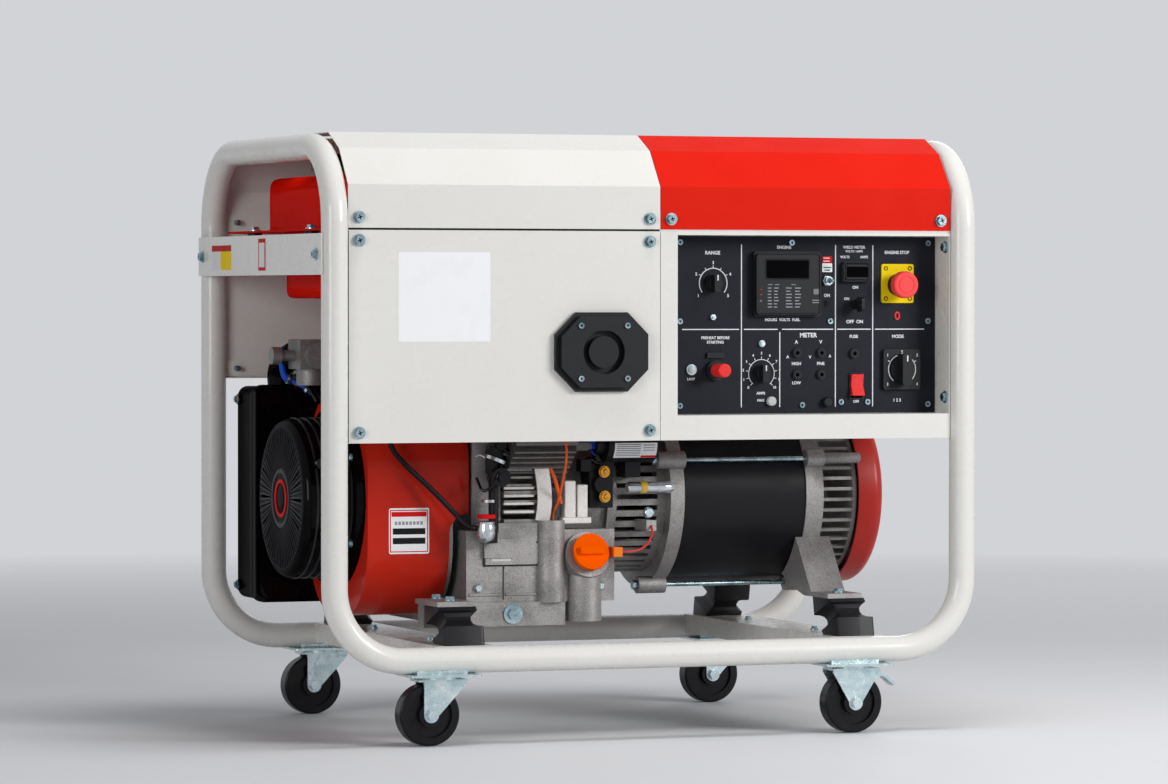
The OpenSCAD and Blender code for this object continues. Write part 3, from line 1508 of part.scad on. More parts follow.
module rotor() color(zinc) {
  translate([stator_x + core_inset, 0, shaft_z]) rotate([90, 0, 90])
    linear_extrude(core_l) difference() {
      circle(d = rotor_d);
      for (k = [0:3]) rotate(90 * k) translate([rotor_d / 2 - 22, -8]) square([30, 16]);
    }
  on_shaft() {
    rod_x(crankshaft_d, crank_x1, bearing_x - 5);
    rod_x(journal_d, bearing_x - 6, bearing_x + bearing_l);
  }
}

module end_bracket() color(casting) difference() {
  union() {
    translate([stator_end, 0, shaft_z]) rotate([90, 0, 90]) linear_extrude(bracket_ring_l)
      plain_ring(stator_d + 6, louvre_d - 2 * bracket_wall);
    translate([louvre_x - 1, 0, shaft_z]) rotate([90, 0, 90]) linear_extrude(louvre_l - 5)
      slot_ring(louvre_d, bracket_wall, louvre_count, 0.7);
    turned(cover_start - 6) square([louvre_d / 2, 6]);
    turned(bearing_x) square([bearing_d / 2, cover_start - bearing_x]);
    rod_lugs(stator_end, louvre_x, lug_d);
    rod_lugs(louvre_x - 1, cover_start, lug_d - 10);
  }
  on_shaft() rod_x(journal_d + 2 * fit_gap, bearing_x - 1, bearing_x + bearing_l + 2);
  rod_lugs(stator_end - 1, louvre_x - 6, rod_d + hole_play);
}

module end_cover() color([0.74, 0.24, 0.21]) turned(cover_start) difference() {
  union() {
    square([end_d / 2, end_l - cover_round]);
    square([end_d / 2 - cover_round, end_l]);
    translate([end_d / 2 - cover_round, end_l - cover_round]) circle(cover_round);
  }
  translate([-1, -1]) square([end_d / 2 - 2, end_l - cover_round + 1]);
  translate([-1, -1]) square([end_d / 2 - cover_round, end_l - 1]);
}

// ---- Engine bolts, feet and rubber mounts ----

module engine_bolts() color(zinc) {
  around(ring_angles, ring_bolt_r) translate([ring_x, 0, 0]) rotate([0, -90, 0])
    hexbolt(ring_t + 6, ring_bolt_d, 13, 9);
  rod_lugs(stator_x - lug_l - 6, louvre_x - 6, rod_d);
  around(rod_angles, rod_r) translate([stator_x - lug_l, 0, 0]) rotate([0, -90, 0])
    cylinder(d = 14, h = 7, $fn = 6);
  to_front(base_bolt_x, base_z + base_bar_h / 2, -base_half_w) hexbolt(16, bolt_d, 29, 15);
  for (side = [-1, 1]) {
    for (x = [-engine_x, gen_x]) {
      translate([x, side * mount_y, seat_z + foot_t]) hexbolt(foot_t);
      translate([x, side * (mount_y - 1.5 * rubber_w), rail_top]) hexbolt(0, 6, 12, 8);
    }
    translate([-engine_x, side * ear_bolt_y, seat_z + foot_t]) hexbolt(foot_t + 20);
  }
  for (z = filter_bolts_z) to_left(filter_y - 10, z, filter_x0 - 3) hexbolt(0, 6, 14, 9);
}

module foot_hole(x, y) translate([x, y, seat_z - 1]) cyl(bolt_hole, foot_t + 2);

// The alternator's leg: a (y, z) outline from its pad up to the bracket's ring
module gen_leg() along_x(gen_x - foot_w / 2, gen_x + foot_w / 2 - 5)
  polygon([
    [mount_y + foot_w / 2, seat_z], [mount_y + foot_w / 2, seat_z + foot_t],
    [mount_y - foot_w * 0.55, seat_z + foot_t], [stator_d / 2 - 1, shaft_z - 77],
    [stator_d / 2 - 20, shaft_z - 55], [stator_d / 4, shaft_z - stator_d * 0.43],
    [stator_d * 0.4, seat_z + foot_t + 5], [mount_y - foot_w, seat_z]
  ]);

module mount_feet() color(casting) difference() {
  both_sides() {
    block([-engine_x - 30, -engine_x + 26], [baffle_y - 2, mount_y + 30],
      [seat_z, seat_z + foot_t]);
    gen_leg();
  }
  both_sides() {
    foot_hole(-engine_x, mount_y);
    foot_hole(-engine_x, ear_bolt_y);
    foot_hole(gen_x, mount_y);
  }
  on_shaft() rod_x(stator_d + 6, stator_x, cover_end);
  rod_lugs(stator_end, cover_start, lug_d);
}

rubber_half = [
  [-rubber_w / 2, -rubber_h / 2], [-rubber_w / 2, 5 - rubber_h / 2], [-rubber_waist / 2, -rubber_h / 6],
  [-rubber_waist / 2, rubber_h / 6], [-rubber_w / 2, rubber_h / 2 - 5], [-rubber_w / 2, rubber_h / 2]
];
module rubber_mount(x, y) translate([x, 0, (rail_top + seat_z) / 2])
  along_y(y - rubber_w / 2, y + rubber_w / 2) polygon(both_ways(rubber_half));

module rubber_mounts() color(rubber) {
  for (x = [-engine_x, gen_x], y = [-mount_y, mount_y]) rubber_mount(x, y);
  for (p = tank_bolts) translate([p[0], p[1], bar_top]) difference() {
    cyl(pad_d, pad_h);
    up(-1) cyl(bolt_hole, pad_h + 2);
  }
}

// ---- Casters ----

module at_caster(c) translate([c[0], c[1] * leg_y, 0]) children();

module caster_plates() color(zinc) for (c = casters) at_caster(c) difference() {
  union() {
    up(caster_h - caster_t) linear_extrude(caster_t)
      rrect(caster_plate_l, caster_plate_w, 6);
    up(race_bottom) cyl(race_d, caster_h - caster_t - race_bottom + 1);
    block([-saddle_l / 2, saddle_l / 2], [-saddle_w / 2, saddle_w / 2], [caster_h - 1, caster_h + saddle_h]);
  }
  up(rail_z) rod_x(tube_d, -caster_plate_l, caster_plate_l);
  up(race_bottom - 1) cyl(kingpin_d + 2 * fit_gap, caster_t + caster_h - race_bottom);
  four(caster_hole_l / 2, caster_hole_w / 2) up(caster_h - caster_t - 1)
    cyl(caster_hole_d, caster_t + 2);
}

// One leg of a fork, seen from -Y
module fork_side(trail, braked) difference() {
  union() {
    if (braked) polygon([
      [-crown_w / 2, crown_top], [-crown_w / 2, crown_top - 6], [-trail - 10, axle_z], [10 - trail, axle_z],
      [crown_w / 2, crown_top - 6], [crown_w / 2, crown_top]
    ]);
    else polygon([
      [8 - crown_w / 2, crown_top], [-trail - 11, axle_z], [10 - trail, axle_z - 2],
      [crown_w / 2 - 2, crown_top - 7], [crown_w / 2 - 2, crown_top]
    ]);
    translate([-trail, axle_z]) circle(fork_boss_r);
    if (braked) translate(pedal_pivot) circle(6);
  }
  if (braked) translate(pedal_pivot) circle(d = pedal_pin_d + 2 * fit_gap);
}

module fork(c, braked = false) color(zinc) at_caster(c) {
  trail = c[2];
  block([-crown_w / 2, crown_w / 2], [-fork_y - fork_t, fork_y + fork_t], [crown_top - crown_t, crown_top]);
  both_sides() along_y(fork_y, fork_y + fork_t) fork_side(trail, braked);
  up(crown_top - crown_t) cyl(kingpin_d, caster_h - crown_top + crown_t - 0.5);
  translate([-trail, 0, axle_z]) {
    rod_y(axle_d, -fork_y - fork_t - 1, fork_y + fork_t + 1);
    both_sides() rotate([-90, 0, 0]) up(fork_y + fork_t) {
      cyl(18, 2);
      cylinder(d = 16, h = 7, $fn = 6);
    }
  }
}

module caster_wheel(c) color(rubber) at_caster(c) translate([-c[2], 0, axle_z]) rotate([90, 0, 0])
  rotate_extrude() difference() {
    union() {
      translate([0, -wheel_w / 2 + 3]) square([wheel_d / 2, wheel_w - 6]);
      translate([0, -wheel_w / 2]) square([wheel_d / 2 - 3, wheel_w]);
      for (h = [3 - wheel_w / 2, wheel_w / 2 - 3]) translate([wheel_d / 2 - 3, h]) circle(3);
      translate([0, fit_gap - fork_y]) square([hub_d / 2, 2 * (fork_y - fit_gap)]);
    }
    for (side = [0, 1]) mirror([0, side]) translate([hub_d / 2, wheel_w / 2 - 5])
      square([wheel_d / 2 - hub_d / 2 - 12, 6]);
    translate([-1, -wheel_w]) square([1 + axle_d / 2 + fit_gap, 2 * wheel_w]);
  }

module fork_front_left() fork(casters[0]);
module fork_rear_left() fork(casters[1]);
module fork_front_right() fork(casters[2], true);
module fork_rear_right() fork(casters[3]);
module wheel_front_left() caster_wheel(casters[0]);
module wheel_rear_left() caster_wheel(casters[1]);
module wheel_front_right() caster_wheel(casters[2]);
module wheel_rear_right() caster_wheel(casters[3]);

module brake_pedal() color(zinc) at_caster(casters[2]) {
  translate([pedal_pivot[0], 0, pedal_pivot[1]]) {
    rod_y(pedal_pin_d, -fork_y - fork_t - 1, fork_y + fork_t + 1);
    along_y(-pedal_w / 2, pedal_w / 2) {
      circle(4);
      polygon([[0, 4], [16, -2], [33, -17], [31, -20], [14, -6], [0, -4]]);
    }
  }
}

left_hoop();
right_hoop();
frame_rails();
tank_bars();
white_canopy();
red_canopy();
front_panel();
rear_panel();
control_box();
control_plate();
cover_bolts();
panel_screws();
panel_displays();
panel_collars();
panel_metal_fittings();
range_knob();
current_knob();
changeover_handle();
estop_plate();
estop_button();
start_button();
rocker_switch();
toggle_lever();
ignition_key();
receptacle();
fuel_tank();
fuel_cap();
recoil_cover();
recoil_handle();
blower_housing();
flywheel();
crankshaft();
crankcase();
cylinders();
rocker_covers();
oil_filler_cap();
hoses_and_leads();
engine_fittings();
carburettor();
air_filter_box();
air_filter_lid();
muffler();
alternator_adapter();
stator();
rotor();
end_bracket();
end_cover();
engine_bolts();
mount_feet();
rubber_mounts();
caster_plates();
fork_front_left();
fork_rear_left();
fork_front_right();
fork_rear_right();
wheel_front_left();
wheel_rear_left();
wheel_front_right();
wheel_rear_right();
brake_pedal();
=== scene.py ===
# %% [markdown]
# # An engine driven welder
# A tube frame on four casters carries an engine, an alternator and a recessed
# control panel. The solids are already made and packed, and this notebook dresses
# them: it loads the frame, sets the camera and the light, mixes the finishes, and
# then adds the small pieces that a solid model leaves out.

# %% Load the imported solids
import math

import bmesh
import bpy
import numpy as np
from mathutils import Matrix, Vector
from mathutils.bvhtree import BVHTree


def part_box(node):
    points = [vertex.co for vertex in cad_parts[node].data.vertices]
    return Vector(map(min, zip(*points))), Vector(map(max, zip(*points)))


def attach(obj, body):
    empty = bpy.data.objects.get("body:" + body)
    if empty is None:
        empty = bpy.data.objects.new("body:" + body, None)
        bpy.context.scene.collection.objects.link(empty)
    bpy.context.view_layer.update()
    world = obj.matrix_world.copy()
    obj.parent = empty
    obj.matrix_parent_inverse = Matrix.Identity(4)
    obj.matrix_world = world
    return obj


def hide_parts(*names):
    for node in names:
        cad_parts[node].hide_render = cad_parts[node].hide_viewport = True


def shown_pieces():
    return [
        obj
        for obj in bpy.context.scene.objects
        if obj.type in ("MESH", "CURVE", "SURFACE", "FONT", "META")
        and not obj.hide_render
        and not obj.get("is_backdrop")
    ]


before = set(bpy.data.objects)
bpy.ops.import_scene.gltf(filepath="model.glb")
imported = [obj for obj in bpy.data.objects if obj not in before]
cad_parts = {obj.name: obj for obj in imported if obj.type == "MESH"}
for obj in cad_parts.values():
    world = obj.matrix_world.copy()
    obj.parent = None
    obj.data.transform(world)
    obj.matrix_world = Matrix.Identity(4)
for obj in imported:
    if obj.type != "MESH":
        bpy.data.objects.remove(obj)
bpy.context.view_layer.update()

scene = bpy.context.scene

# %% [markdown]
# ## Image points
# Each point is a place in the photograph, in pixels of its 1168 x 784 frame. The
# four edges and the bolts settle the camera, and the others say where each control
# and each small fitting shows.

# %% Image points
W, H = 1168, 784
L = max(W, H)
EDGES = {"left": 199.5, "right": 975.0, "top": 131.0, "bottom": 746.0}
POINTS = {
    "canopy_bolt_left": (360.0, 217.0),
    "canopy_bolt_right": (942.5, 221.0),
    "panel_bolt_low": (360.0, 434.0),
    "receptacle": (602.0, 352.0),
    "mushroom": (906.6, 285.4),
    "range_knob": (713.0, 283.0),
    "current_knob": (761.3, 373.5),
    "changeover": (901.7, 369.6),
    "front_right_axle": (858.0, 704.5),
    "front_left_axle": (430.5, 719.0),
    "logo_square": (444.5, 297.0),
    "blower_label": (409.0, 531.0),
    "bar_sticker": (221.5, 257.5),
}
print(len(POINTS) + len(EDGES), "image points")

# %% [markdown]
# ## Camera
# A long lens stands well back, a little above the middle of the machine, and looks
# almost level at its front and its left end. Turning the camera was enough to bring
# every point in place, so the lens shift stays at zero.

# %% Camera
CAM_PLACE = Vector((-2.72394, -7.21458, 0.64337))
YAW, PITCH, ROLL = math.radians(-20.7009), math.radians(1.0710), math.radians(0.0346)
LENS, SENSOR = 157.52, 36.0
SHIFT_X, SHIFT_Y = 0.0, 0.0


def camera_axes(yaw, pitch, roll):
    """Right, up and forward of a camera that is turned, then tipped down, then rolled."""
    level = Vector((-math.sin(yaw), math.cos(yaw), 0))
    side = Vector((math.cos(yaw), math.sin(yaw), 0))
    sky = Vector((0, 0, 1))
    forward = level * math.cos(pitch) - sky * math.sin(pitch)
    upright = sky * math.cos(pitch) + level * math.sin(pitch)
    right = side * math.cos(roll) + upright * math.sin(roll)
    return right, upright * math.cos(roll) - side * math.sin(roll), forward


cam_right, cam_up, cam_forward = camera_axes(YAW, PITCH, ROLL)
camera = bpy.data.objects.new("camera", bpy.data.cameras.new("camera"))
scene.collection.objects.link(camera)
scene.camera = camera
camera.data.sensor_fit = "AUTO"
camera.data.sensor_width = SENSOR
camera.data.lens = LENS
camera.data.shift_x, camera.data.shift_y = SHIFT_X, SHIFT_Y
camera.data.clip_start, camera.data.clip_end = 0.1, 60.0
turn = Matrix((cam_right, cam_up, -cam_forward)).transposed()
camera.matrix_world = Matrix.Translation(CAM_PLACE) @ turn.to_4x4()
scene.view_settings.view_transform = "Standard"


def seen_at(place):
    """Pixel at which a place in the frame shows."""
    d = Vector(place) - CAM_PLACE
    depth = d.dot(cam_forward)
    scale = L * LENS / SENSOR / depth
    return (W / 2 - SHIFT_X * L + d.dot(cam_right) * scale,
            H / 2 + SHIFT_Y * L - d.dot(cam_up) * scale)


print("camera at", tuple(round(v, 3) for v in CAM_PLACE), "lens", LENS)

# %% [markdown]
# ## Wires that do sums
# A finish is a small graph of nodes. Wrapping a socket in a class with the ordinary
# operators lets a mask be written as a sum, and each operator adds its Math node.

# %% Socket wrapper


class Wire:
    """A node's output socket. Sums on it add Math nodes to its material."""

    def __init__(self, finish, socket):
        self.finish, self.socket = finish, socket

    def _sum(self, operation, *others):
        return self.finish.add("ShaderNodeMath", {"operation": operation}, [self, *others])

    def __add__(self, other): return self._sum("ADD", other)
    def __mul__(self, other): return self._sum("MULTIPLY", other)
    def __sub__(self, other): return self._sum("SUBTRACT", other)
    def __rsub__(self, other): return self.finish.add(
        "ShaderNodeMath", {"operation": "SUBTRACT"}, [other, self])
    def __truediv__(self, other): return self._sum("DIVIDE", other)
    def __pow__(self, other): return self._sum("POWER", other)
    __radd__, __rmul__ = __add__, __mul__

    def over(self, edge): return self._sum("GREATER_THAN", edge)

    def ramp(self, start, end):
        """0 below start, 1 above end and a straight line between."""
        return self.finish.add("ShaderNodeMapRange", {"clamp": True},
                               {"Value": self, "From Min": start, "From Max": end})


class Finish:
    """One material. `add` makes any node and returns its wire, and `end` wires the shader."""

    def __init__(self, name):
        self.material = bpy.data.materials.new(name)
        self.material.use_nodes = True
        self.tree = self.material.node_tree
        self.shader = self.tree.nodes["Principled BSDF"]
        self.coordinate = self.add("ShaderNodeTexCoord", {}, {}, "Object")

    def add(self, kind, settings, inputs, output=0):
        node = self.tree.nodes.new(kind)
        for key, value in settings.items():
            setattr(node, key, value)
        pairs = inputs.items() if isinstance(inputs, dict) else enumerate(inputs)
        for key, value in pairs:
            self.feed(node.inputs[key], value)
        return Wire(self, node.outputs[output])

    def feed(self, socket, value):
        if isinstance(value, Wire):
            self.tree.links.new(value.socket, socket)
        elif isinstance(value, tuple) and len(value) == 3 and len(socket.default_value) == 4:
            socket.default_value = (*value, 1)
        else:
            socket.default_value = value

    def noise(self, scale, detail=4.0, roughness=0.55, where=None):
        return self.add("ShaderNodeTexNoise", {}, {
            "Vector": where or self.coordinate, "Scale": scale, "Detail": detail,
            "Roughness": roughness}, "Fac")

    def mix(self, mask, first, second):
        """first where the mask is 0, second where it is 1."""
        node = self.tree.nodes.new("ShaderNodeMix")
        node.data_type = "RGBA"
        self.feed(node.inputs[0], mask)
        self.feed(node.inputs[6], first)
        self.feed(node.inputs[7], second)
        return Wire(self, node.outputs[2])

    def bump(self, height, strength, distance, normal=None):
        inputs = {"Height": height, "Strength": strength, "Distance": distance}
        if normal:
            inputs["Normal"] = normal
        return self.add("ShaderNodeBump", {}, inputs)

    def axes(self):
        node = self.tree.nodes.new("ShaderNodeSeparateXYZ")
        self.feed(node.inputs[0], self.coordinate)
        return [Wire(self, out) for out in node.outputs]

    def end(self, **inputs):
        """Sets the shader's sockets, written with _ for a space."""
        for key, value in inputs.items():
            self.feed(self.shader.inputs[key.replace("_", " ")], value)
        return self.material


def srgb(red, green, blue):
    """Screen colour, 0 to 255, as the linear light that Blender mixes."""
    return tuple(((c / 255 + 0.055) / 1.055) ** 2.4 if c > 10 else c / 255 / 12.92
                 for c in (red, green, blue))


print("wire class ready")

# %% [markdown]
# ## Finishes
# Powder coat is a thick gloss paint with a faint orange peel, so its bump is wide and
# shallow and its colour hardly changes. Zinc plate is a metal with a thin bluish
# skin, in clouds of yellow and blue. A sand casting is grey metal with a coarse grain
# and clouds of dirt. Rubber and moulded plastic are dull, with a fine grain.

# %% Paint


def paint(name, colour, shade, rough=0.22, coat=0.3, peel=0.12, shine=0.3):
    """Gloss paint: orange peel in the bump, faint clouds in colour and gloss."""
    f = Finish(name)
    colour, shade = srgb(*colour), srgb(*shade)
    clouds = f.noise(7.0, 3.0)
    specks = f.noise(260.0, 2.0)
    skin = f.noise(620.0, 1.0, 0.4)
    dust = f.noise(28.0, 6.0).ramp(0.5, 0.78)
    return f.end(
        Base_Color=f.mix(clouds.ramp(0.3, 0.75) * 0.75 + specks.ramp(0.62, 0.8) * 0.12,
                         colour, shade),
        Roughness=rough + dust * 0.12 + clouds * 0.05,
        Coat_Weight=coat - dust * (coat * 0.5), Coat_Roughness=0.06, Specular_IOR_Level=shine,
        Normal=f.bump(skin, peel, 0.0004))


cream = paint("cream powder coat", (224, 223, 219), (220, 218, 212), 0.24, 0.25)
signal_red = paint("signal red gloss", (220, 36, 22), (210, 28, 16), 0.34, 0.06, 0.1, 0.02)
housing_red = paint("blower red gloss", (196, 42, 26), (164, 34, 24), 0.18, 0.2, 0.1, 0.02)
cover_red = paint("end cover red", (172, 40, 32), (156, 32, 26), 0.34, 0.1, 0.1, 0.2)
tank_red = paint("tank red gloss", (226, 20, 4), (206, 14, 2), 0.16, 0.05, 0.1, 0.0)
satin_black = paint("satin black paint", (24, 24, 27), (16, 16, 19), 0.3, 0.05, 0.1, 0.15)
panel_black = paint("panel black", (31, 33, 41), (25, 27, 34), 0.5, 0.0, 0.3, 0.12)
print("paints:", 7)

# %% Metal


def plated(name, bright, cloud, rough=0.3):
    """Zinc plate: a bluish metal with clouds and fine brushing."""
    f = Finish(name)
    clouds = f.noise(45.0, 5.0, 0.65)
    grain = f.noise(900.0, 2.0)
    stain = f.noise(110.0, 6.0).ramp(0.52, 0.75)
    return f.end(
        Base_Color=f.mix(clouds.ramp(0.35, 0.7), srgb(*bright), srgb(*cloud)),
        Metallic=0.9 - stain * 0.25,
        Roughness=rough + stain * 0.22 + grain * 0.08,
        Normal=f.bump(grain + clouds * 0.6, 0.12, 0.0004))


def cast(name, light, dark, grain=420.0, deep=0.35, metal=0.55):
    """Sand casting: coarse grain, pits in the bump and clouds of dirt."""
    f = Finish(name)
    sand = f.noise(grain, 3.0, 0.6)
    pits = f.add("ShaderNodeTexVoronoi", {}, {"Vector": f.coordinate, "Scale": grain * 0.7},
                 "Distance").ramp(0.0, 0.5)
    soot = f.noise(16.0, 6.0, 0.6).ramp(0.42, 0.72)
    tone = sand.ramp(0.3, 0.75) * 0.5 + soot * 0.5
    return f.end(
        Base_Color=f.mix(tone, srgb(*light), srgb(*dark)), Metallic=metal - soot * 0.25,
        Roughness=0.42 + soot * 0.2 + sand * 0.1,
        Normal=f.bump(sand + pits * 0.4, deep, 0.0006))


zinc = plated("zinc plate", (214, 226, 228), (164, 190, 196), 0.2)
bolt_zinc = plated("bolt zinc", (184, 204, 210), (86, 120, 132), 0.2)
chrome = plated("chrome", (214, 218, 222), (176, 182, 190), 0.08)
brass = plated("brass", (214, 160, 60), (170, 116, 34), 0.28)
steel = plated("bright steel", (196, 196, 198), (150, 150, 154), 0.26)
alloy = cast("cast alloy", (168, 165, 163), (82, 79, 78))
alloy_dark = cast("dark cast alloy", (142, 139, 137), (66, 64, 64))
# A paler copy of the cast alloy: painted highlight, for the lit fins, band and column on the
# engine's front.
alloy_painted_highlight = cast("cast alloy with painted highlight", (226, 223, 219), (176, 172, 168), 420.0, 0.2, 0.4)
print("metals:", 7)

# %% Plastic and rubber


def moulded(name, colour, shade, rough=0.42, grain=1100.0, deep=0.25, coat=0.0, shine=0.25):
    """Moulded plastic: a fine spark-eroded grain and a little dust."""
    f = Finish(name)
    skin = f.noise(grain, 2.0, 0.5)
    dust = f.noise(34.0, 5.0).ramp(0.5, 0.8)
    return f.end(
        Base_Color=f.mix(dust * 0.6 + skin.ramp(0.4, 0.8) * 0.3, srgb(*colour), srgb(*shade)),
        Roughness=rough + dust * 0.12 + skin * 0.06,
        Coat_Weight=coat + dust * 0.02, Specular_IOR_Level=shine,
        Normal=f.bump(skin, deep, 0.0003))


black_plastic = moulded("black plastic", (17, 18, 21), (26, 27, 31))
gloss_black = moulded("gloss black", (7, 7, 9), (14, 14, 17), 0.14, 700.0, 0.08, 0.5, 0.02)
deep_black = moulded("deep black gloss", (5, 5, 6), (11, 11, 13), 0.2, 700.0, 0.08, 0.14,
                     0.0)
# A lighter grey copy of the cover's deep black: painted sheen, so fins and ribs show lit against
# the black face.
fin_black_painted_sheen = moulded("fin black with painted sheen", (40, 40, 44), (54, 54, 58), 0.3, 700.0, 0.1, 0.15, 0.02)
red_plastic = moulded("red plastic", (226, 36, 34), (238, 74, 70), 0.36, 900.0, 0.15, 0.2)
mushroom_red = moulded("mushroom red", (240, 66, 66), (246, 98, 98), 0.5, 900.0, 0.2)
yellow_plastic = moulded("yellow plastic", (246, 214, 24), (232, 196, 14), 0.44, shine=0.04)
orange_plastic = moulded("orange plastic", (255, 96, 0), (252, 84, 0), 0.4, shine=0.0)
rubber = moulded("black rubber", (17, 17, 20), (32, 32, 36), 0.45, 500.0, 0.4, 0.04)
tyre = moulded("tyre rubber", (15, 15, 18), (27, 27, 31), 0.3, 500.0, 0.25, 0.2, 0.1)
white_ink = moulded("white ink", (232, 234, 238), (214, 216, 222), 0.5, 800.0, 0.1,
                    shine=0.04)
grey_ink = moulded("grey ink", (150, 152, 160), (128, 130, 138), 0.5, 800.0, 0.1)
ink_red = moulded("label red", (212, 30, 28), (198, 24, 24), 0.4, 800.0, 0.1, shine=0.04)
ink_dark_red = moulded("label dark red", (188, 22, 18), (172, 16, 14), 0.4, 800.0, 0.1,
                       shine=0.04)
white_enamel = moulded("white label film", (240, 241, 243), (230, 231, 234), 0.3, 500.0,
                       0.05)
white_enamel_dark = moulded("dull label film", (206, 204, 204), (186, 184, 184), 0.4)
screen_black = moulded("display glass", (4, 4, 6), (7, 7, 9), 0.12, 300.0, 0.02, 0.0, 0.03)
lamp_red = moulded("lamp red", (150, 34, 28), (120, 22, 20), 0.2, 300.0, 0.05, 0.5)
grey_plastic = moulded("grey plastic", (120, 122, 122), (98, 100, 102), 0.45)
blue_plastic = moulded("blue plastic", (20, 74, 190), (14, 56, 160), 0.4)
amber = moulded("amber sight glass", (214, 176, 60), (190, 150, 40), 0.12, 300.0, 0.03, 0.6)
lens_pale = moulded("pale lens", (196, 198, 198), (168, 172, 174), 0.16, 400.0, 0.05, 0.4)
ink_green = moulded("label green", (46, 120, 96), (40, 104, 84), 0.4, 800.0, 0.1,
                    shine=0.04)
print("plastics:", 24)

# %% Leads of three colours
f = Finish("engine leads")
x, y, z = f.axes()
lead_tone = f.mix(x.over(-0.2), srgb(14, 14, 16), srgb(232, 92, 30))
lead_tone = f.mix(x.over(-0.05), lead_tone, srgb(244, 126, 24))
lead_tone = f.mix(x.over(-0.0103), lead_tone, srgb(206, 60, 52))
leads = f.end(Base_Color=lead_tone, Roughness=0.34 + f.noise(60.0) * 0.14,
              Specular_IOR_Level=0.2, Normal=f.bump(f.noise(420.0, 2.0), 0.2, 0.0003))
print("lead colours by place along x")

# %% [markdown]
# ## Dress the solids
# Each solid takes a finish through its object's material slots. The solids keep their
# place and their mesh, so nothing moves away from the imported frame.

# %% Finish of each solid
DRESS = {
    cream: "left_hoop right_hoop frame_rails tank_bars white_canopy front_panel rear_panel "
           "control_box",
    signal_red: "red_canopy",
    tank_red: "fuel_tank",
    housing_red: "blower_housing",
    cover_red: "end_cover",
    panel_black: "control_plate",
    satin_black: "stator engine_fittings",
    deep_black: "recoil_cover air_filter_box air_filter_lid",
    gloss_black: "recoil_handle fuel_cap",
    black_plastic: "panel_displays panel_collars range_knob current_knob changeover_handle "
                   "ignition_key receptacle",
    mushroom_red: "estop_button",
    red_plastic: "start_button rocker_switch",
    yellow_plastic: "estop_plate",
    orange_plastic: "oil_filler_cap",
    leads: "hoses_and_leads",
    rubber: "rubber_mounts",
    tyre: "wheel_front_left wheel_rear_left wheel_front_right wheel_rear_right",
    alloy: "crankcase alternator_adapter end_bracket mount_feet rocker_covers",
    alloy_dark: "cylinders carburettor flywheel",
    steel: "crankshaft rotor muffler",
    bolt_zinc: "cover_bolts panel_screws toggle_lever engine_bolts",
    zinc: "panel_metal_fittings caster_plates brake_pedal fork_front_left fork_rear_left "
          "fork_front_right fork_rear_right",
}
for finish, names in DRESS.items():
    for name in names.split():
        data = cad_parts[name].data
        data.materials.clear()
        data.materials.append(finish)
dressed = {n for names in DRESS.values() for n in names.split()}
print("dressed:", len(dressed), "bare:", sorted(set(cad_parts) - dressed))

# %% [markdown]
# ## Shapes worked out as arrays
# The small pieces are surfaces on a grid. A section is carried along a path, a
# profile is spun round an axis, or an outline is given a thickness. Each maker
# returns its points and faces, so several parts can join into one piece.

# %% Makers
MM = 0.001
X, Y, Z = np.eye(3)


def corners(name):
    """Low and high corner of a node's box in mm."""
    return np.array(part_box(name)) / MM


def net(rows, columns, close_rows=False, close_columns=False):
    """Faces of a grid of points: (i, j), (i, j+1), (i+1, j+1), (i+1, j), wrapped where closed."""
    i, j = np.meshgrid(np.arange(rows - (not close_rows)),
                       np.arange(columns - (not close_columns)), indexing="ij")
    a, b = (i + 1) % rows, (j + 1) % columns
    return np.stack([i * columns + j, i * columns + b, a * columns + b, a * columns + j],
                    -1).reshape(-1, 4).tolist()


def circle(radius, sides=16):
    """Points at radius * (cos a, sin a), with a going once round."""
    a = 2 * np.pi * np.arange(sides) / sides
    return radius * np.stack([np.cos(a), np.sin(a)], -1)


def oblong(width, height, radius, steps=4):
    """Rectangle with round corners: each corner's centre plus radius * (cos a, sin a)."""
    a = np.pi / 2 * np.arange(steps + 1) / steps
    corner = radius * np.stack([np.cos(a), np.sin(a)], -1)
    w, h = width / 2 - radius, height / 2 - radius
    quarter = np.array([[0, -1], [1, 0]])
    turned = [corner]
    for _ in range(3):
        turned.append(turned[-1] @ quarter.T)
    return np.vstack([t + c for t, c in zip(turned, [(w, h), (-w, h), (-w, -h), (w, -h)])])


def block(width, height):
    """Rectangle's corners about its middle."""
    w, h = width / 2, height / 2
    return [(-w, -h), (w, -h), (w, h), (-w, h)]


def smooth(points, steps=6):
    """Catmull-Rom curve through points: each stretch blends its four nearest points."""
    p = np.array(points, float)
    p = np.vstack([2 * p[0] - p[1], p, 2 * p[-1] - p[-2]])
    t = (np.arange(steps) / steps)[None, :, None]
    a, b, c, d = (p[k:len(p) - 3 + k, None] for k in range(4))
    curve = 0.5 * (2 * b + (c - a) * t + (2 * a - 5 * b + 4 * c - d) * t ** 2
                   + (3 * b - a - 3 * c + d) * t ** 3)
    return np.vstack([curve.reshape(-1, 3), p[-2]])


def unit(v):
    """v over its length."""
    return v / np.linalg.norm(v, axis=-1, keepdims=True)


def carried(section, path, sky=Z, close=False):
    """Section (u, v) at each path point: point + u * side + v * top, side = along x sky."""
    path, section = np.array(path, float), np.array(section, float)
    along = unit(np.roll(path, -1, 0) - np.roll(path, 1, 0)) if close else \
        unit(np.gradient(path, axis=0))
    side = unit(np.cross(along, sky))
    top = np.cross(side, along)
    points = (path[:, None] + section[None, :, :1] * side[:, None]
              + section[None, :, 1:] * top[:, None]).reshape(-1, 3)
    n, m = len(path), len(section)
    faces = net(n, m, close, True)
    if not close:
        faces += [list(range(m))[::-1], list(range((n - 1) * m, n * m))]
    return points, faces


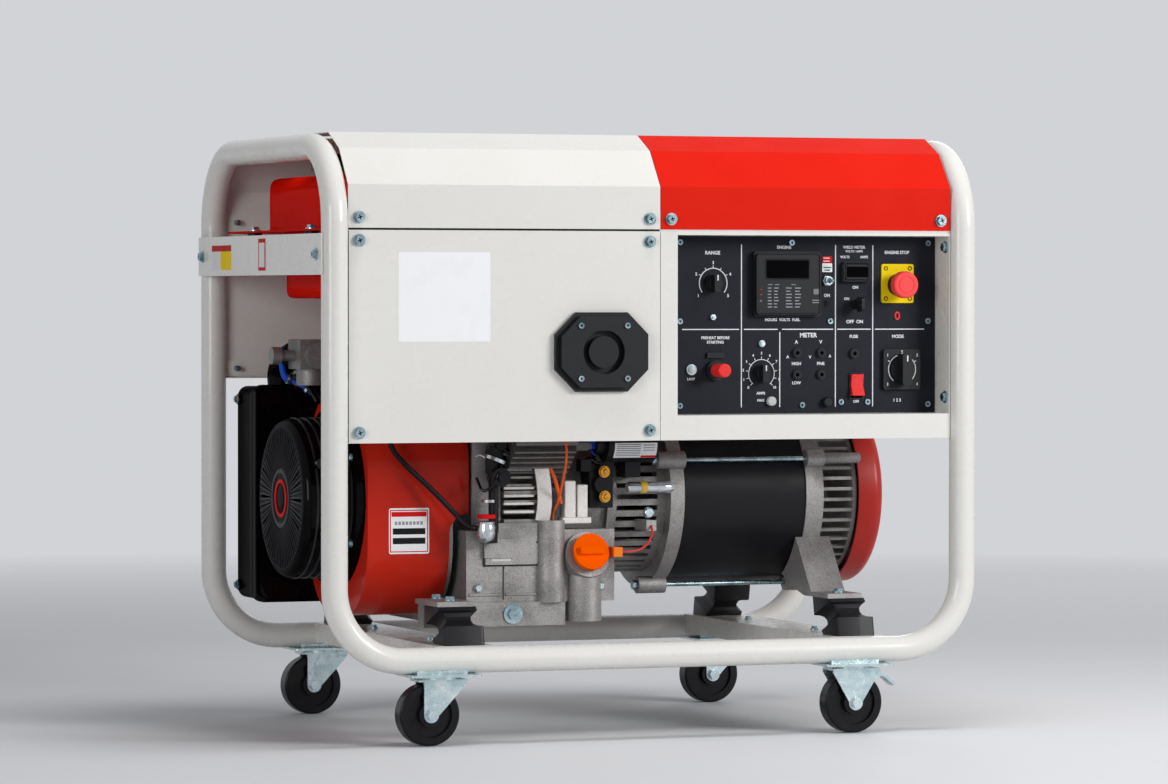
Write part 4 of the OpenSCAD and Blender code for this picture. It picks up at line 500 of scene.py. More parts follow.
def spun(profile, centre, axis, spokes=32):
    """Profile (radius, height) about an axis: centre + h * axis + r * (cos a * u + sin a * v)."""
    profile = np.array(profile, float)
    axis = unit(np.array(axis, float))
    u = unit(np.cross(axis, Z if abs(axis[2]) < 0.9 else X))
    v = np.cross(axis, u)
    ring = circle(1.0, spokes)
    spin = ring[:, :1] * u + ring[:, 1:] * v
    points = (np.array(centre) + profile[:, None, 1:] * axis
              + profile[:, None, :1] * spin[None]).reshape(-1, 3)
    return points, net(len(profile), spokes, False, True)


def slab(outline, thick, centre, across=X, up=Z):
    """Outline (u, v) at centre + u * across + v * up, and again thick along across x up."""
    outline = np.array(outline, float)
    out = np.cross(across, up)
    base = np.array(centre) + outline[:, :1] * across + outline[:, 1:] * up
    m = len(outline)
    return np.vstack([base, base + thick * out]), \
        net(2, m, False, True) + [list(range(m))[::-1], list(range(m, 2 * m))]


def brick(low, high):
    """Box between two corners."""
    low, high = np.array(low, float), np.array(high, float)
    middle, half = (low + high) / 2, (high - low) / 2
    return slab(block(2 * half[0], 2 * half[2]), 2 * half[1], middle + (0, half[1], 0))


# Slot name of each finish, which piece looks up where its call names none; piece keeps it nowhere.
SLOT_OF = {finish: slot for slot, finishes in {
    "zinc": (chrome, zinc, steel, lens_pale),
    "cast_alloy": (alloy, alloy_painted_highlight, brass),
    "black_plastic": (gloss_black, deep_black, fin_black_painted_sheen, black_plastic, grey_plastic,
                      screen_black),
    "red_paint": (ink_red,),
    "red_plastic": (red_plastic, lamp_red),
    "cream_paint": (white_enamel, white_enamel_dark),
    "yellow_plastic": (amber,),
    "black_rubber": (rubber,),
    "panel_black": (white_ink,),
}.items() for finish in finishes}


def piece(name, parts, finish, slot=None, body="chassis", sharp=40, bevel=0.0):
    """Joins parts into one object in metres, with shared points merged and faces outward."""
    points, faces, start = [], [], 0
    for p, f in parts:
        points.append(p)
        faces += [[k + start for k in face] for face in f]
        start += len(p)
    mesh = bpy.data.meshes.new(name)
    mesh.from_pydata((np.vstack(points) * MM).tolist(), [], faces)
    made = bpy.data.objects.new(name, mesh)
    scene.collection.objects.link(made)
    shape = bmesh.new()
    shape.from_mesh(mesh)
    bmesh.ops.remove_doubles(shape, verts=shape.verts, dist=1e-6)
    bmesh.ops.dissolve_degenerate(shape, edges=shape.edges, dist=1e-7)
    bmesh.ops.recalc_face_normals(shape, faces=shape.faces)
    shape.to_mesh(mesh)
    shape.free()
    mesh.shade_smooth()
    mesh.set_sharp_from_angle(angle=math.radians(sharp))
    mesh.materials.append(finish)
    if bevel:
        edge = made.modifiers.new("edge", "BEVEL")
        edge.width, edge.segments, edge.limit_method = bevel * MM, 2, "ANGLE"
        edge.harden_normals = True
    slot = slot or SLOT_OF[finish]
    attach(made, body)
    return made


print("makers ready")

# %% [markdown]
# ## Place by the picture
# A small thing on a face goes where the photograph shows it. A ray from the camera
# through its image point meets the solid that carries it, and the thing is laid there.

# %% Ray placement


def carrier(*names):
    """Search tree of the solids that carry a piece."""
    points, faces = [], []
    for name in names:
        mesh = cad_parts[name].data
        start = len(points)
        points += [v.co.copy() for v in mesh.vertices]
        faces += [[start + k for k in p.vertices] for p in mesh.polygons]
    return BVHTree.FromPolygons(points, faces)


def on_view(x, y, tree):
    """Place in mm and outward normal under an image point; a miss takes the nearest place."""
    ray = Vector((x - W / 2 + SHIFT_X * L, H / 2 - y + SHIFT_Y * L, -L * LENS / SENSOR))
    ray = (turn @ ray).normalized()
    place, normal, _, _ = tree.ray_cast(CAM_PLACE, ray)
    if place is None:
        far = CAM_PLACE + ray * (Vector((0, 0, 0.45)) - CAM_PLACE).dot(ray)
        place, normal, _, _ = tree.find_nearest(far)
    if normal.dot(ray) > 0:
        normal = -normal
    return np.array(place) / MM, np.array(normal)


SPOTS = {}


def sticker(name, point, tree, width, height, finish, slot, corner=2.0, thick=0.25):
    """Thin rounded plate on the face under an image point."""
    place, normal = on_view(*POINTS[point], tree)
    across = unit(np.cross(Z, normal))
    up = np.cross(normal, across)
    made = piece(name, [slab(oblong(width, height, corner), thick, place + normal * 0.02,
                             across, up)], finish, slot)
    SPOTS[point] = place * MM
    print(name, "at", place.round(1))
    return made, place, across, up, normal


front_tree = carrier("front_panel")
sticker("plain_plate", "logo_square", front_tree, 139, 128, white_enamel, "cream_paint", 1.0)

# %% [markdown]
# ## Print on the control plate
# The real plate is screen printed in white: lines between the fields, a scale round
# each knob and short words. Print is a raised film here, a quarter of a millimetre
# thick, so it needs no image. Strips are carried along lines and arcs.

# %% Field lines and scales
PLATE_Y = corners("control_plate")[0][1]
FILM = 0.3


def strip(path, width=1.2, thick=FILM):
    """Flat film along a path on the control plate."""
    section = [(-width / 2, 0), (width / 2, 0), (width / 2, thick), (-width / 2, thick)]
    return carried(section, path, -Y)


def line(x0, z0, x1, z1, width=1.2, y=None):
    y = PLATE_Y if y is None else y
    return strip([(x0, y, z0), ((x0 + x1) / 2, y, (z0 + z1) / 2), (x1, y, z1)], width)


def arc(x, z, radius, start, end, width=1.2, y=None):
    """Film at x + r sin a, z + r cos a, with a from start to end in degrees."""
    a = np.radians(np.linspace(start, end, max(6, int(abs(end - start) / 6))))
    y = PLATE_Y if y is None else y
    return strip(np.stack([x + radius * np.sin(a), y + 0 * a, z + radius * np.cos(a)], -1), width)


def ticks(x, z, r0, r1, angles, width=1.0, y=None):
    """Short lines from radius r0 to r1."""
    return [line(x + r0 * math.sin(a), z + r0 * math.cos(a),
                 x + r1 * math.sin(a), z + r1 * math.cos(a), width, y)
            for a in np.radians(angles)]


SPLIT_Z = 595.0
RANGE_AT, CURRENT_AT, SWITCH_AT = (110, 663), (187, 530), (411.5, 535)   # x and z
low_z, high_z = 480.0, 720.0
parts = [line(x, low_z, x, high_z, 1.5) for x in (154.9, 305.8, 366.2)]
parts += [line(216.3, low_z, 216.3, SPLIT_Z - 4, 1.5)]
parts += [line(a, SPLIT_Z, b, SPLIT_Z, 1.5) for a, b in
          ((61, 151), (159, 213), (220, 302), (309, 363), (370, 450))]
parts += [arc(*RANGE_AT, 22, -128, 128, 1.4)] + ticks(*RANGE_AT, 22, 26, [-60, -30, 0, 30, 60])
parts += [arc(*CURRENT_AT, 20.5, -140, 140, 1.0)]
parts += ticks(*CURRENT_AT, 21, 25, np.linspace(-135, 135, 11))
piece("plate_lines", parts, white_ink, sharp=30)
SWITCH_Y = PLATE_Y - 6.0
parts = [arc(*SWITCH_AT, 22, -140, -8, 1.5, SWITCH_Y), arc(*SWITCH_AT, 22, 8, 140, 1.5, SWITCH_Y)]
parts += ticks(*SWITCH_AT, 22, 26, [-60, 0, 60], 1.4, SWITCH_Y)
piece("switch_scale", parts, white_ink, sharp=30)
print("film parts:", len(parts))

# %% Words and numbers


def words(name, lines, finish, y=None, slot="panel_black", body="chassis"):
    """Generic words as thin film. Each line is (text, x, z, letter height)."""
    y = PLATE_Y if y is None else y
    parts = []
    for text, x, z, height in lines:
        curve = bpy.data.curves.new(name, "FONT")
        curve.body, curve.size, curve.align_x = text, height * 1.4, "CENTER"
        curve.align_y, curve.extrude, curve.resolution_u = "CENTER", FILM / 2, 3
        curve.offset = height * 0.04
        made = bpy.data.objects.new(name, curve)
        scene.collection.objects.link(made)
        bpy.context.view_layer.update()
        flat = bpy.data.meshes.new_from_object(made)
        co = np.empty(len(flat.vertices) * 3, np.float32)
        flat.vertices.foreach_get("co", co)
        co = co.reshape(-1, 3)
        points = np.stack([x + co[:, 0], y - FILM / 2 - co[:, 2], z + co[:, 1]], -1)
        parts.append((points, [list(p.vertices) for p in flat.polygons]))
        bpy.data.objects.remove(made)
        bpy.data.curves.remove(curve)
        bpy.data.meshes.remove(flat)
    return piece(name, parts, finish, slot, body, 30)


scale = [(str(k), 187 + 29.5 * math.sin(a), 530 + 29.5 * math.cos(a), 3.8)
         for k, a in enumerate(np.radians(np.linspace(-135, 135, 11)))]
scale += [(str(k + 1), 110 + 30 * math.sin(a), 663 + 30 * math.cos(a), 4.4)
          for k, a in enumerate(np.radians([-128, -64, 0, 64, 128]))]
words("plate_words", scale + [
    ("RANGE", 109, 707.5, 5.2), ("ENGINE", 223, 716, 4.6), ("HOURS  VOLTS  FUEL", 220.5, 609, 4.2),
    ("WELD METER", 336, 716.5, 4.2), ("VOLTS / AMPS", 336, 710.5, 3.2), ("VOLTS", 321, 702, 3.6),
    ("AMPS", 352, 702, 3.6), ("ON", 338, 657, 4.2), ("ON", 324, 640, 3.8),
    ("OFF  ON", 337, 606, 5.0), ("ENGINE STOP", 405.5, 709, 4.6),
    ("ON", 292, 645, 4.4), ("PREHEAT BEFORE", 113.5, 582.5, 4.1),
    ("STARTING", 113.5, 576, 4.1), ("LAMP", 75, 522, 3.6), ("AMPS", 186, 500.5, 4.0),
    ("MAX", 186, 490, 3.8), ("METER", 262, 586, 6.6), ("A", 243, 576, 5.2),
    ("V", 282, 576, 5.2), ("A", 229, 554, 4.4), ("V", 265, 553.6, 4.4), ("A", 297, 555, 4.0),
    ("HIGH", 243, 544, 4.4), ("FINE", 282, 544, 4.4), ("LOW", 243, 515.5, 4.2),
    ("FUSE", 335.5, 584, 4.6), ("OFF", 339.4, 487.5, 4.0), ("MODE", 407, 584, 4.8),
    ("1 2 3", 406, 489, 4.6)], white_ink)
words("switch_words", [("0", 411.5, 561.4, 3.6), ("1", 388, 556, 4.0), ("2", 436, 556, 4.0),
                       ("3", 388, 513, 4.0), ("4", 436, 513, 4.0)], white_ink, SWITCH_Y)
print("words set")

# %% Pointers on the knobs


def face_y(tree, x, z):
    """World y in mm of the first face that a ray along +Y meets at x and z."""
    place = tree.ray_cast(Vector((x * MM, -1.0, z * MM)), Vector((0, 1, 0)))[0]
    return place.y / MM


def pointer(node, joint_body, x, z0, z1, width=1.8):
    """White line on a knob's front, which turns with it."""
    y = min(face_y(carrier(node), x, z) for z in (z0, (z0 + z1) / 2, z1))
    section = [(-width / 2, -1.5), (width / 2, -1.5), (width / 2, 0.2), (-width / 2, 0.2)]
    path = [(x, y, z) for z in (z0, (z0 + z1) / 2, z1)]
    return piece(node + "_pointer", [carried(section, path, -Y)], white_ink, "panel_black",
                 joint_body, 30)


for node, x, z0, z1 in (("range_knob", 110, 667, 675), ("current_knob", 187, 534, 542),
                        ("changeover_handle", 411.5, 547, 556)):
    pointer(node, node, x, z0, z1)
print("pointers: 3")

# %% [markdown]
# ## Display and meter
# The display case holds a dark glass, columns of tiny print, three small lamps and a
# key, inside a raised rim. A glass is gloss black plastic, proud by a hair of the well
# it sits in.

# %% Display details


def rim(outline, centre, width, high):
    """Raised border: a narrow bevelled section carried round an outline (u, v) in x and z."""
    outline = np.array(outline, float)
    path = np.stack([centre[0] + outline[:, 0], centre[1] + 0 * outline[:, 0],
                     centre[2] + outline[:, 1]], -1)
    w = width / 2
    section = [(-w, -1), (w, -1), (w, high - 0.5), (w - 0.6, high), (0.6 - w, high),
               (-w, high - 0.5)]
    return carried(section, path, -Y, close=True)


CASE_Y = PLATE_Y - 13.0
METER_Y = PLATE_Y - 8.0
pane = slab(oblong(67, 26, 1.5), 0.5, (223, CASE_Y - 0.05, 684))
meter_pane = slab(oblong(35, 16, 1.5), 0.4, (338, METER_Y - 0.05, 680))
piece("display_glass", [pane, meter_pane], screen_black)
piece("display_rims", [rim(oblong(101, 89, 5), (225, CASE_Y, 662), 2.4, 1.6),
                       rim(oblong(70, 29, 2), (223, CASE_Y, 684), 1.6, 1.0),
                       rim(oblong(42, 27.5, 2.5), (337.6, METER_Y, 680), 2.0, 1.4)],
      black_plastic, sharp=30)
rng = np.random.default_rng(5)
parts = []
for x0, wide in ((191.5, 7.5), (201.5, 7.5), (220.5, 11), (235, 10)):
    for z0 in np.linspace(628, 656, 7):
        parts.append(line(x0, z0, x0 + wide * rng.uniform(0.65, 1.0), z0, 1.5, CASE_Y))
parts += [line(x0, 661, x0 + 7, 661, 1.0, CASE_Y) for x0 in (192, 203, 229)]
parts += [line(263, z0, 274, z0, 1.2, CASE_Y) for z0 in (638, 634.5)]
piece("display_print", parts, grey_ink, "panel_black", sharp=30)
dome = [(0, 1.4), (1.0, 1.2), (1.7, 0.6), (1.9, 0)]
piece("display_lamps", [spun(dome, (180.5, CASE_Y, z), -Y, 16) for z in (654, 646)],
      lamp_red)
piece("display_lamp_low", [spun(dome, (180.5, CASE_Y, 637), -Y, 16)], grey_plastic)
piece("display_keys", [slab(oblong(8.6, 8.5, 1.5), 1.2, (268.7, CASE_Y, 650.6))],
      grey_plastic, bevel=0.3)
print("display case front at", CASE_Y)

# %% Small marks on the plate
STOP_Y = corners("estop_plate")[0][1]
ring = [(2.1, -0.2), (2.1, 0.5), (3.2, 0.5), (3.2, -0.2)]
piece("stop_plate_rings", [spun(ring, (x, STOP_Y, z), -Y, 24) for x, z in
                           ((386.2, 685.5), (425.2, 685.5), (386.2, 640.5), (425.2, 640.5))],
      gloss_black, sharp=30)
a = np.linspace(0, 2 * np.pi, 25)[:-1]
oval = np.stack([406 + 3.3 * np.cos(a), PLATE_Y + 0 * a, 615 + 5.2 * np.sin(a)], -1)
flat = [(-1.1, -0.2), (1.1, -0.2), (1.1, 1.0), (-1.1, 1.0)]
piece("red_mark", [carried(flat, oval, -Y, close=True)], red_plastic, sharp=30)
film = [slab(oblong(15, 10, 0.8), 0.2, (292.4, PLATE_Y - 0.05, 698.2))]
piece("plate_sticker_red", film, ink_red)
film = [slab(oblong(16, 13, 0.8), 0.2, (292.4, PLATE_Y - 0.05, 686.2))]
piece("plate_sticker_white", film, white_enamel)
piece("plate_sticker_print", [line(286, z, 296, z, 1.3, PLATE_Y - 0.25) for z in (700.5, 696)]
      + [line(286.5, 690, 293, 690, 2.2, PLATE_Y - 0.25)], white_ink, "cream_paint", sharp=30)
piece("plate_sticker_green", [line(286, 686.6, 299, 686.6, 1.8, PLATE_Y - 0.25),
                              line(288, 682.6, 297, 682.6, 1.8, PLATE_Y - 0.25)],
      ink_green, "cream_paint", sharp=30)
piece("key_slot", [slab(oblong(6, 10, 3), 0.8, (291, PLATE_Y, 633))], gloss_black, bevel=0.2)
piece("dark_knob", [spun([(7.1, -7.9), (7.1, -3), (6.9, -0.2), (5.8, 1.0), (0, 1.2)],
                         (291, -260, 487), -Y, 32)], black_plastic, bevel=0.0)
piece("pale_button", [spun([(7.0, -5.9), (7.0, -0.4), (6.2, 0.8), (0, 1.0)], (202, -258, 489), -Y,
                           32)], lens_pale)
piece("lamp_lens", [spun([(5.6, -0.5), (5.2, 1.0), (3.2, 2.4), (0, 2.8)], (75, -258, 536), -Y, 32)],
      lens_pale)
print("small marks set")

# %% [markdown]
# ## Cross recesses
# Every cover bolt has a cross recess in its head. Each separate solid of a bolt node
# is found by its shared points, and a thin dark cross is laid on its head's face as
# painted shade for the recess.

# %% Bolt crosses


def islands(name):
    """Low and high corners in mm of each separate solid: every point takes the least label
    among the corners of its faces, over and over, until no label changes."""
    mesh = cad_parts[name].data
    co = np.empty(len(mesh.vertices) * 3, np.float32)
    mesh.vertices.foreach_get("co", co)
    co = co.reshape(-1, 3)
    _, same = np.unique(np.round(co * 1e5).astype(int), axis=0, return_inverse=True)
    mesh.calc_loop_triangles()
    tri = np.empty(len(mesh.loop_triangles) * 3, np.int32)
    mesh.loop_triangles.foreach_get("vertices", tri)
    tri = same.ravel()[tri].reshape(-1, 3)
    label = np.arange(same.max() + 1)
    while True:
        before = label.copy()
        least = label[tri].min(1)
        for corner in tri.T:
            np.minimum.at(label, corner, least)
        if (label == before).all():
            break
    whose = label[same.ravel()]
    return [(co[whose == k].min(0) / MM, co[whose == k].max(0) / MM) for k in np.unique(whose)]


def cross(place, axis, size, wide):
    """Two thin bars across each other on a face with this outward axis."""
    axis = np.array(axis, float)
    across = unit(np.cross(Z if abs(axis[2]) < 0.9 else X, axis) + 0.35 * np.cross(
        axis, np.cross(Z if abs(axis[2]) < 0.9 else X, axis)))
    up = np.cross(axis, across)
    bars = []
    for u, v in ((size, wide), (wide, size)):
        bars.append(slab(block(u, v), 0.15, place + 0.02 * axis, across, up))
    return bars


marks = []
for low, high in islands("cover_bolts"):
    middle, span = (low + high) / 2, high - low
    k = 0 if span[0] < 14 else (2 if abs(middle[1]) < 200 else 1)
    out = np.zeros(3)
    out[k] = (-1.0, np.sign(middle[1]), 1.0)[k]
    place = middle.copy()
    place[k] = high[k] if out[k] > 0 else low[k]
    marks += cross(place, out, 7.0, 1.7)
for low, high in islands("panel_screws"):
    middle = (low + high) / 2
    marks += cross(np.array((middle[0], low[1], middle[2])), -Y, 4.6, 1.1)
# The dark crosses are painted shade for the recesses in the heads.
piece("bolt_recess_shade", marks, gloss_black, sharp=30)
print("crosses:", len(marks) // 2)

# %% [markdown]
# ## Painted shadow in the seams
# Between the canopy's skirt and the panel below it is a narrow open gap that shows
# dark, as does the joint between the panel and the hoop. Thin black strips lie there
# as painted shadow.

# %% Seams
skirt_z = corners("white_canopy")[0][2]
panel_low, panel_high = corners("front_panel")
panel_front_y = panel_low[1]
# Black strips where there is only shade: painted shadow in the gap under the skirt and at the
# panel's edge by the hoop.
gap_shadows = [brick((panel_low[0] + 1, panel_front_y + 0.2, panel_high[2]),
               (panel_high[0] - 1, panel_front_y + 1.2, skirt_z)),
         brick((panel_low[0], panel_front_y - 0.12, panel_low[2] + 1),
               (panel_low[0] + 0.9, panel_front_y + 0.1, panel_high[2] - 1))]
piece("seam_painted_shadows", gap_shadows, satin_black, "black_plastic")
print("seam from z", panel_high[2].round(1), "to", skirt_z.round(1))

# %% [markdown]
# ## Plain stickers
# The machine carries a few printed labels. Here each is a plain coloured film of the
# same size, with bars for the lines of print and no words or signs.

# %% Stickers
end_tree = carrier("tank_bars")
place, normal = on_view(*POINTS["bar_sticker"], end_tree)
bar_x = place[0] - 0.1
SPOTS["bar_sticker"] = place * MM


def end_film(name, y0, y1, z0, z1, finish, slot, lift=0.0):
    """Film on the end bar, which faces -X."""
    middle = (bar_x - lift, (y0 + y1) / 2, (z0 + z1) / 2)
    return piece(name, [slab(block(y1 - y0, z1 - z0), 0.25, middle, -Y, Z)], finish, slot)


y_mid, z_mid = place[1], place[2]
end_film("bar_label_head", y_mid - 50, y_mid + 50, z_mid + 9, z_mid + 18, ink_dark_red, "red_paint")
end_film("bar_label_white", y_mid + 4, y_mid + 50, z_mid - 19, z_mid + 9, white_ink, "cream_paint")
end_film("bar_label_yellow", y_mid - 50, y_mid + 4, z_mid - 19, z_mid + 9, yellow_plastic,
         "yellow_plastic")
end_film("bar_label_small", -40, -5, 681, 728, ink_dark_red, "red_paint")
end_film("bar_label_small_lines", -36, -9, 686, 722, white_ink, "cream_paint", 0.25)

blower_tree = carrier("blower_housing")
made, place, across, up, normal = sticker("blower_label", "blower_label", blower_tree, 62, 67,
                                          white_enamel, "cream_paint", 3.0)


def on_label(u0, u1, v0, v1, lift=0.27):
    """Bar on the blower's label, in its own across and up."""
    shape = [(u0, v0), (u1, v0), (u1, v1), (u0, v1)]
    return slab(shape, 0.12, place + normal * lift, across, up)


edging = [on_label(-28.5, 28.5, 29.5, 31), on_label(-28.5, 28.5, -31, -29.5),
          on_label(-29.5, -28, -31, 31), on_label(28, 29.5, -31, 31), on_label(-27, 27, 21, 28)]
piece("blower_label_rim", edging, ink_red)
piece("blower_label_bars", [on_label(-25, 25, v, v + 9) for v in (-19, -5)], gloss_black)
piece("blower_label_print", [on_label(-22 + 5.6 * k, -18 + 5.6 * k, 9, 14) for k in range(8)],
      grey_ink, "black_plastic")
print("stickers on the end bar and the blower")

# %% [markdown]
# ## Recoil cover
# The starter's cover is a moulded drum. Fins stand round its face like the rays of a
# sun, low ribs run round its side, and a plain dark disc in a red ring closes the
# middle. Each fin is one short box, turned to its own angle.

# %% Fins, ribs and badge
FACE_X = corners("recoil_cover")[0][0]
SHAFT_Z = 345.0
hub = (FACE_X, 0, SHAFT_Z)


def fin(angle, r0, r1, width, high):
    """Box on the drum's face from radius r0 to r1, rounded down towards its outer end."""
    along = np.array((0, math.cos(angle), math.sin(angle)))
    section = [(-width / 2, -1), (width / 2, -1), (width / 2, high - 0.6), (0, high),
               (-width / 2, high - 0.6)]
    centre = np.array(hub)
    path = [centre + r * along - X * drop for r, drop in
            ((r0, -0.6), (r0 + 3, 0), (r1 - 6, 0), (r1, -1.8))]
    return carried(section, path, -X)


# The fins and ribs take the lighter black as painted sheen.
rays = [fin(a, 47, 108, 2.6, 1.3) for a in 2 * np.pi * (np.arange(72) + 0.5) / 72]
piece("recoil_fins", rays, fin_black_painted_sheen, sharp=30)
ribs = [spun([(117, h - 2.2), (119.3, h - 1.2), (119.3, h + 1.2), (117, h + 2.2)],
             (0, 0, SHAFT_Z), X, 96) for h in (-456, -443, -430, -417, -404)]
ribs.append(spun([(36, -0.5), (38, 1.6), (43, 1.6), (45, -0.5)], hub, -X, 64))
piece("recoil_ribs", ribs, fin_black_painted_sheen, sharp=30)
piece("badge_ring", [spun([(23, -1), (23, 0.6), (24, 1.6), (27.5, 1.6), (28.5, 0.6), (28.5, -1)],
                          hub, -X, 64)], ink_red)
piece("badge_disc", [spun([(0, 1.4), (12, 1.2), (20, 0.6), (23.2, -1), (0, -1)], hub, -X, 48)],
      deep_black)
FILTER_X = corners("air_filter_box")[0][0]
# The filter's ribs take the same lighter black as painted sheen.
bars = [brick((FILTER_X - 2.2, y0, 192), (FILTER_X + 1, y0 + w, 500)) for y0, w in
        ((142, 3), (149, 3), (160, 3))]
piece("filter_ribs", bars, fin_black_painted_sheen, bevel=1.0)
print("fins:", len(rays), "ribs:", len(ribs))

# %% [markdown]
# ## Crankcase front
# The casting's front has raised frames, a parting seam and a small plate. Each is a
# low rib with softened edges, laid on the face that the camera sees.

# %% Ribs on the casting
CASE_FRONT = -165.0


def rib(x0, z0, x1, z1, width=5, high=3, y=CASE_FRONT):
    """Raised rib between two points of the casting's front, square in section."""
    section = [(-width / 2, -2), (width / 2, -2), (width / 2 - 1, high), (1 - width / 2, high)]
    return carried(section, [(x0, y, z0), ((x0 + x1) / 2, y, (z0 + z1) / 2), (x1, y, z1)], -Y)


parts = [brick(low, high) for low, high in
         (((-208, -168.4, 283), (-134, -160, 311)), ((-216, -168.0, 250), (-169.5, -160, 281)),
          ((-166, -168.0, 250), (-133, -160, 281)))]
parts += [rib(-185.6, 198, -185.6, 244, 3, 1.6), rib(-240, 206, -188, 206, 5, 2),
          rib(-183, 206, -134, 206, 5, 2)]
piece("case_ribs", parts, alloy, bevel=1.4)
plate = slab(oblong(30, 22, 2), 1.0, (-190.5, -168.1, 266))
piece("case_plate", [plate], white_enamel_dark, bevel=0.3)
# Thin black strips under and beside the raised frames, between them and beside the seam rib:
# painted shadow along their edges.
shades = [brick(low, high) for low, high in
          (((-169.3, -168.3, 250), (-166.2, -163, 300)), ((-218, -167.0, 248), (-216.2, -163, 290)),
           ((-216, -166.8, 247.6), (-133, -163, 249.6)),
           ((-208, -168.2, 281.2), (-134, -163, 282.8)),
           ((-187, -166.2, 200), (-185.2, -163, 247)))]
piece("case_painted_shadow_lines", shades, rubber, "cast_alloy", bevel=0.0)
piece("case_plate_print", [line(-202, z0, -202 + w, z0, 1.6, -169.1) for z0, w in
                           ((272, 20), (268, 14), (264, 22), (260, 10))], grey_ink,
      "cream_paint", sharp=30)
print("ribs:", len(parts))

# %% [markdown]
# ## Fins, brass and fittings round the engine
# Between the blower and the alternator the photograph shows short cooling fins, brass
# jets, a clear filter, plug connectors in yellow and blue and a small harness.

# %% Fins, bands and jets
fins = [brick((-186, -163, z0), (-140, -100, z0 + 4)) for z0 in np.arange(364, 412, 11.5)]
# The band, the column and the lower fins take the paler alloy as painted highlight; the upper fins
# keep the plain alloy.
band = [carried(block(22, 2),
                smooth([(-131, -163, 422), (-128, -168, 392), (-125, -170.5, 365),
                        (-124, -171, 340), (-126, -167, 314)]), Y)]
column = [brick((-90, -164, 312), (-72, -140, 372)), brick((-69, -161, 312), (-52, -140, 366)),
          brick((-94, -166, 308), (-48, -142, 318))]
piece("cast_column_painted_highlight", column, alloy_painted_highlight, bevel=2.0)
piece("front_fins", fins, alloy, bevel=0.8)
piece("casting_highlight_band", band, alloy_painted_highlight)
piece("fins_painted_highlight", [brick((-186, -166, z0), (-138, -160, z0 + 4)) for z0 in
                      (325, 337, 348.5, 360)], alloy_painted_highlight, bevel=0.8)


def hex_bolt(place, axis, flats=13.0, head=7.0, flange=17.0):
    """Flanged hexagon bolt head."""
    axis = unit(np.array(axis, float))
    r = flats / 2 / math.cos(math.pi / 6)
    rim = spun([(0, 0), (flange / 2, 0), (flange / 2, 1.0), (r, 2.2)], place, axis, 32)
    top = spun([(r, 1.5), (r, head - 0.8), (r * 0.86, head), (0, head)], place, axis, 6)
    return [rim, top]


jet = [(0, 9), (3, 9), (4, 7), (7, 7), (7, 3), (9, 3), (9, 0), (0, 0)]
piece("brass_jets", [spun(jet, (x0, -150, z0), -Y, 12) for x0, z0 in
                     ((-22, 347), (-23, 384))], brass, bevel=0.3)
body = [spun([(0, 0), (15, 0), (15, 22), (0, 22)], (-22, -128, 365), -Y, 24),
        brick((-42, -140, 330), (-4, -100, 402))]
piece("jet_block", body, satin_black, "black_paint", bevel=1.5)
can = spun([(0, 0), (7, 0), (8.5, 2), (8.5, 20), (6, 22), (6, 24), (8.5, 26), (8.5, 48), (9.5, 50),
            (9.5, 68), (7, 72), (0, 72)], (14, -150, 360), X, 24)
piece("line_filter", [can], chrome)
piece("line_filter_glass", [spun([(7.6, 20), (9.2, 21), (9.2, 30), (7.6, 31)],
                                 (14, -150, 360), X, 24)], amber)
heads = hex_bolt((46.7, -152, 322.6), -Y)
for place in ((-204, -153, 240), (-36, -170, 216), (-226, -166, 216)):
    heads += hex_bolt(place, -Y, 10, 5, 13)
piece("fitting_bolts", heads, zinc)
print("fins:", len(fins), "bolt heads:", len(heads) // 2)

# %% Plugs, wires and clamps


def plug_shell(x0, y0, z0, finish, name, w=20, d=14, h=12):
    shell = [brick((x0, y0, z0), (x0 + w, y0 + d, z0 + h)),
             brick((x0 + w * 0.8, y0 + 2, z0 + 2), (x0 + w + 6, y0 + d - 2, z0 + h - 2))]
    return piece(name, shell, finish, "black_plastic", bevel=1.0)


plug_shell(-100, -166, 412, yellow_plastic, "plug_yellow")
plug_shell(-70, -158, 416, grey_plastic, "plug_grey")
plug_shell(-52, -154, 418, blue_plastic, "plug_blue")


def wire(name, points, radius, finish):
    """Round lead along a smooth curve through points."""
    return piece(name, [carried(circle(radius, 10), smooth(points), Y)], finish, "black_rubber",
                 sharp=80)


wire("wire_yellow", [(-110, -150, 430), (-104, -168, 414), (-92, -172, 402), (-82, -168, 412),
                     (-80, -150, 430)], 1.8, yellow_plastic)
wire("wire_blue", [(-46, -146, 421), (-38, -150, 410), (-30, -140, 412), (-24, -120, 430)], 1.8,
     blue_plastic)
wire("harness", [(-150, -140, 436), (-110, -146, 428), (-60, -140, 432), (-20, -136, 424),
                 (20, -130, 432)], 5.0, rubber)


def clamp(name, centre, axis, radius, wide, finish, slot="zinc"):
    """Band round a hose: a flat ring."""
    band = spun([(radius, -wide / 2), (radius + 0.9, -wide / 2), (radius + 0.9, wide / 2),
                 (radius, wide / 2), (radius, -wide / 2)], centre, axis, 32)
    return piece(name, [band], finish, slot, sharp=30)


